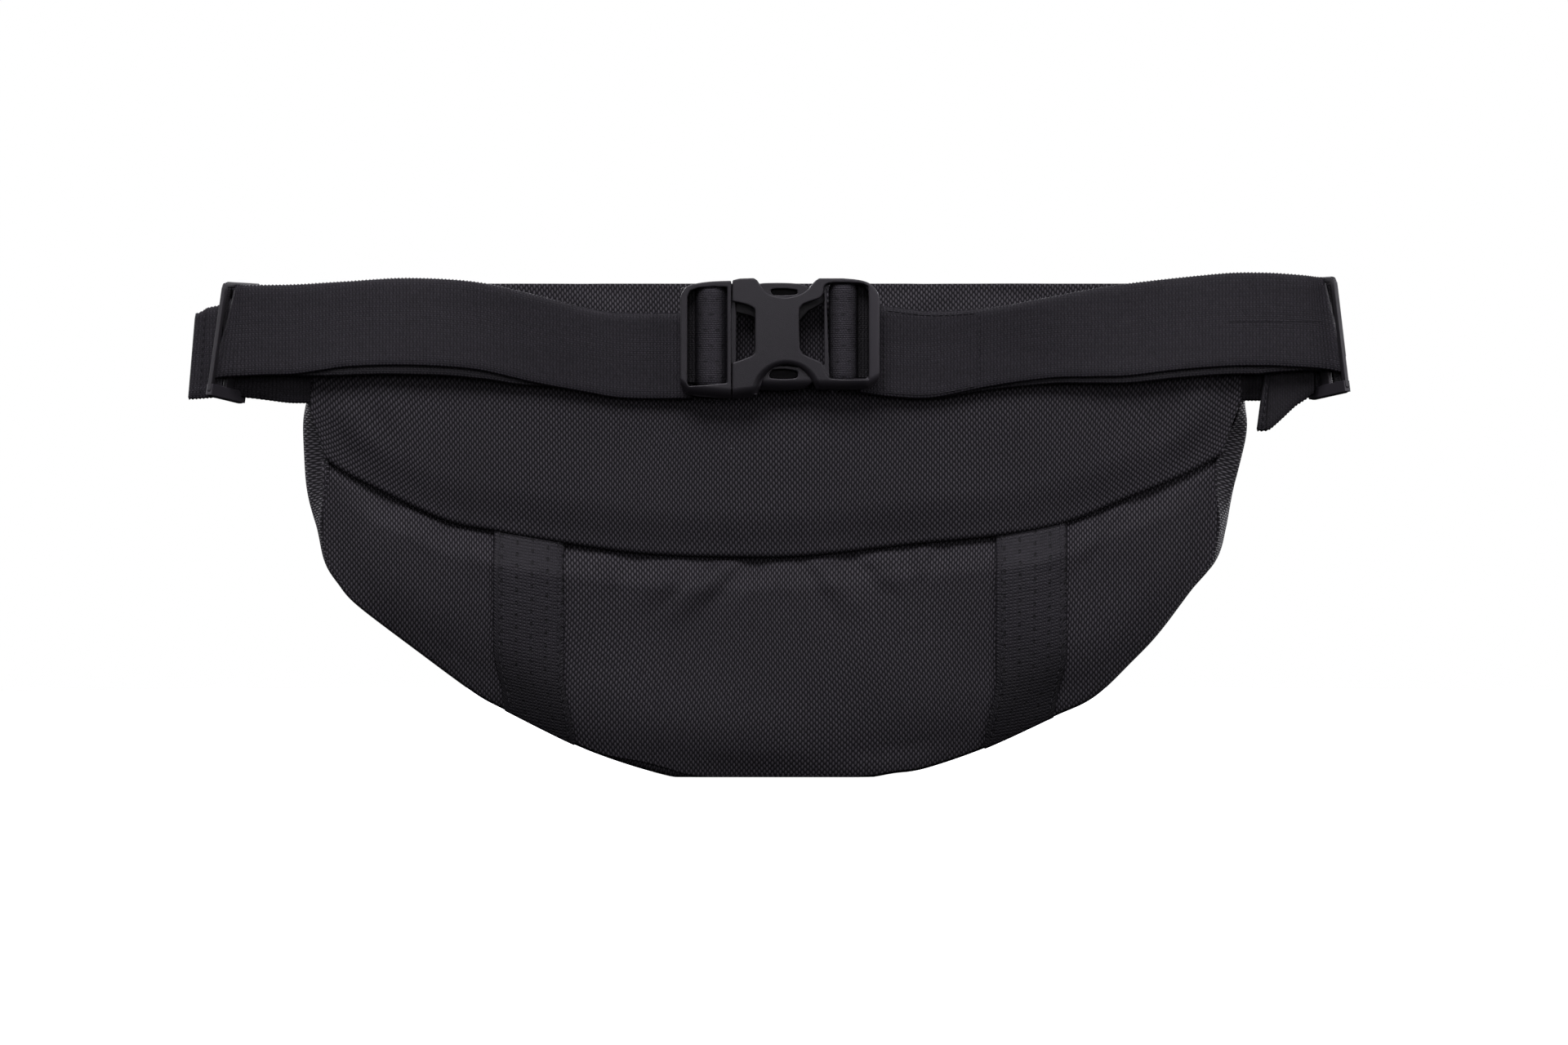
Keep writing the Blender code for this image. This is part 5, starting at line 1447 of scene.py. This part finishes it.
def floor():
    """Pale round floor, a little self-lit so that it reads white; it lights nothing itself."""
    work = bmesh.new()
    bmesh.ops.create_circle(work, cap_ends=True, segments=96, radius=1.3)
    mesh = bpy.data.meshes.new("floor")
    work.to_mesh(mesh)
    work.free()
    made, _, shader = new_material("pale_floor", 0.9, 0.0)
    shader.inputs["Base Color"].default_value = (0.55, 0.55, 0.55, 1)
    shader.inputs["Emission Color"].default_value = (1, 1, 1, 1)
    shader.inputs["Emission Strength"].default_value = 1.0
    mesh.materials.append(made)
    ground = add_object("floor", mesh)
    ground.location = (0, 0, -0.0005)
    ground.visible_diffuse = False
    ground.visible_glossy = False


def area_light(name, place_at, aim, size, power, colour=(1, 1, 1)):
    light = add_object(name, bpy.data.lights.new(name, "AREA"))
    light.data.shape = "RECTANGLE"
    light.data.size, light.data.size_y = size
    light.data.energy = power
    light.data.color = colour
    light.location = place_at
    light.rotation_euler = (Vector(aim) - Vector(place_at)).to_track_quat("-Z", "Y").to_euler()


def lights():
    middle = (0, -0.03, 0.11)
    tint = (1.0, 0.955, 1.05)
    area_light("key", (-0.30, -1.5, 1.75), middle, (1.5, 0.9), 35, tint)
    area_light("right_bank", (1.9, -1.0, 0.75), middle, (0.9, 1.3), 13.5, tint)
    area_light("left_bank", (-1.9, -1.0, 0.60), middle, (0.9, 1.3), 6, tint)
    area_light("front_fill", (0.2, -2.6, 0.55), middle, (1.4, 0.9), 6.5, tint)
    area_light("rear_key", (-1.3, 1.6, 1.5), middle, (1.6, 1.0), 75, (0.98, 0.97, 1.02))
    area_light("rear_side", (1.5, 1.7, 0.7), middle, (0.9, 1.3), 26, (0.98, 0.97, 1.02))
    area_light("right_side", (2.1, 0.45, 0.9), middle, (0.8, 1.2), 20, (0.98, 0.97, 1.02))
    area_light("left_side", (-2.1, 0.45, 0.9), middle, (0.8, 1.2), 16, (0.98, 0.97, 1.02))
    world = bpy.data.worlds.new("studio")
    bpy.context.scene.world = world
    world.use_nodes = True
    background = world.node_tree.nodes["Background"]
    background.inputs["Color"].default_value = (1, 1, 1, 1)
    background.inputs["Strength"].default_value = 1.0
    world.cycles_visibility.diffuse = False
    world.cycles_visibility.glossy = False
    bpy.context.scene.view_settings.view_transform = "Standard"


# ---------------------------------------------------------------- assembly
camera()
floor()
lights()
upper_panel()
foam_pad()
lower_panel()
bands()
gusset()
top_gusset()
POCKET_ZIP = (float(pocket_y(0.0, POCKET_HIGH)) + 0.0015 - TAPE_EDGE * math.cos(POCKET_ZIP_LEAN),
              POCKET_ZIP_Z)
front_panel()
front_pocket()
for prefix, centre, lean, half, tape_half in (
    ("main_zip", MAIN_ZIP, ZIP_LEAN, MAIN_ZIP_HALF, 0.1865),
    ("pocket_zip", POCKET_ZIP, POCKET_ZIP_LEAN, POCKET_ZIP_HALF, 0.116),
):
    zip_tapes(prefix, centre, lean, tape_half)
    zip_coils(prefix, centre, lean, half)
strands()
right_tail()
anchors()
web_loop("left_web_loop", (-0.0320, -0.0212), 0.1632, 0.2034, "buckle_male")
web_loop("right_web_loop", (0.0232, 0.0326), 0.1652, 0.2044, "belt")
buckle_female()
buckle_male()
prongs()
triglides()
finish_nodes()
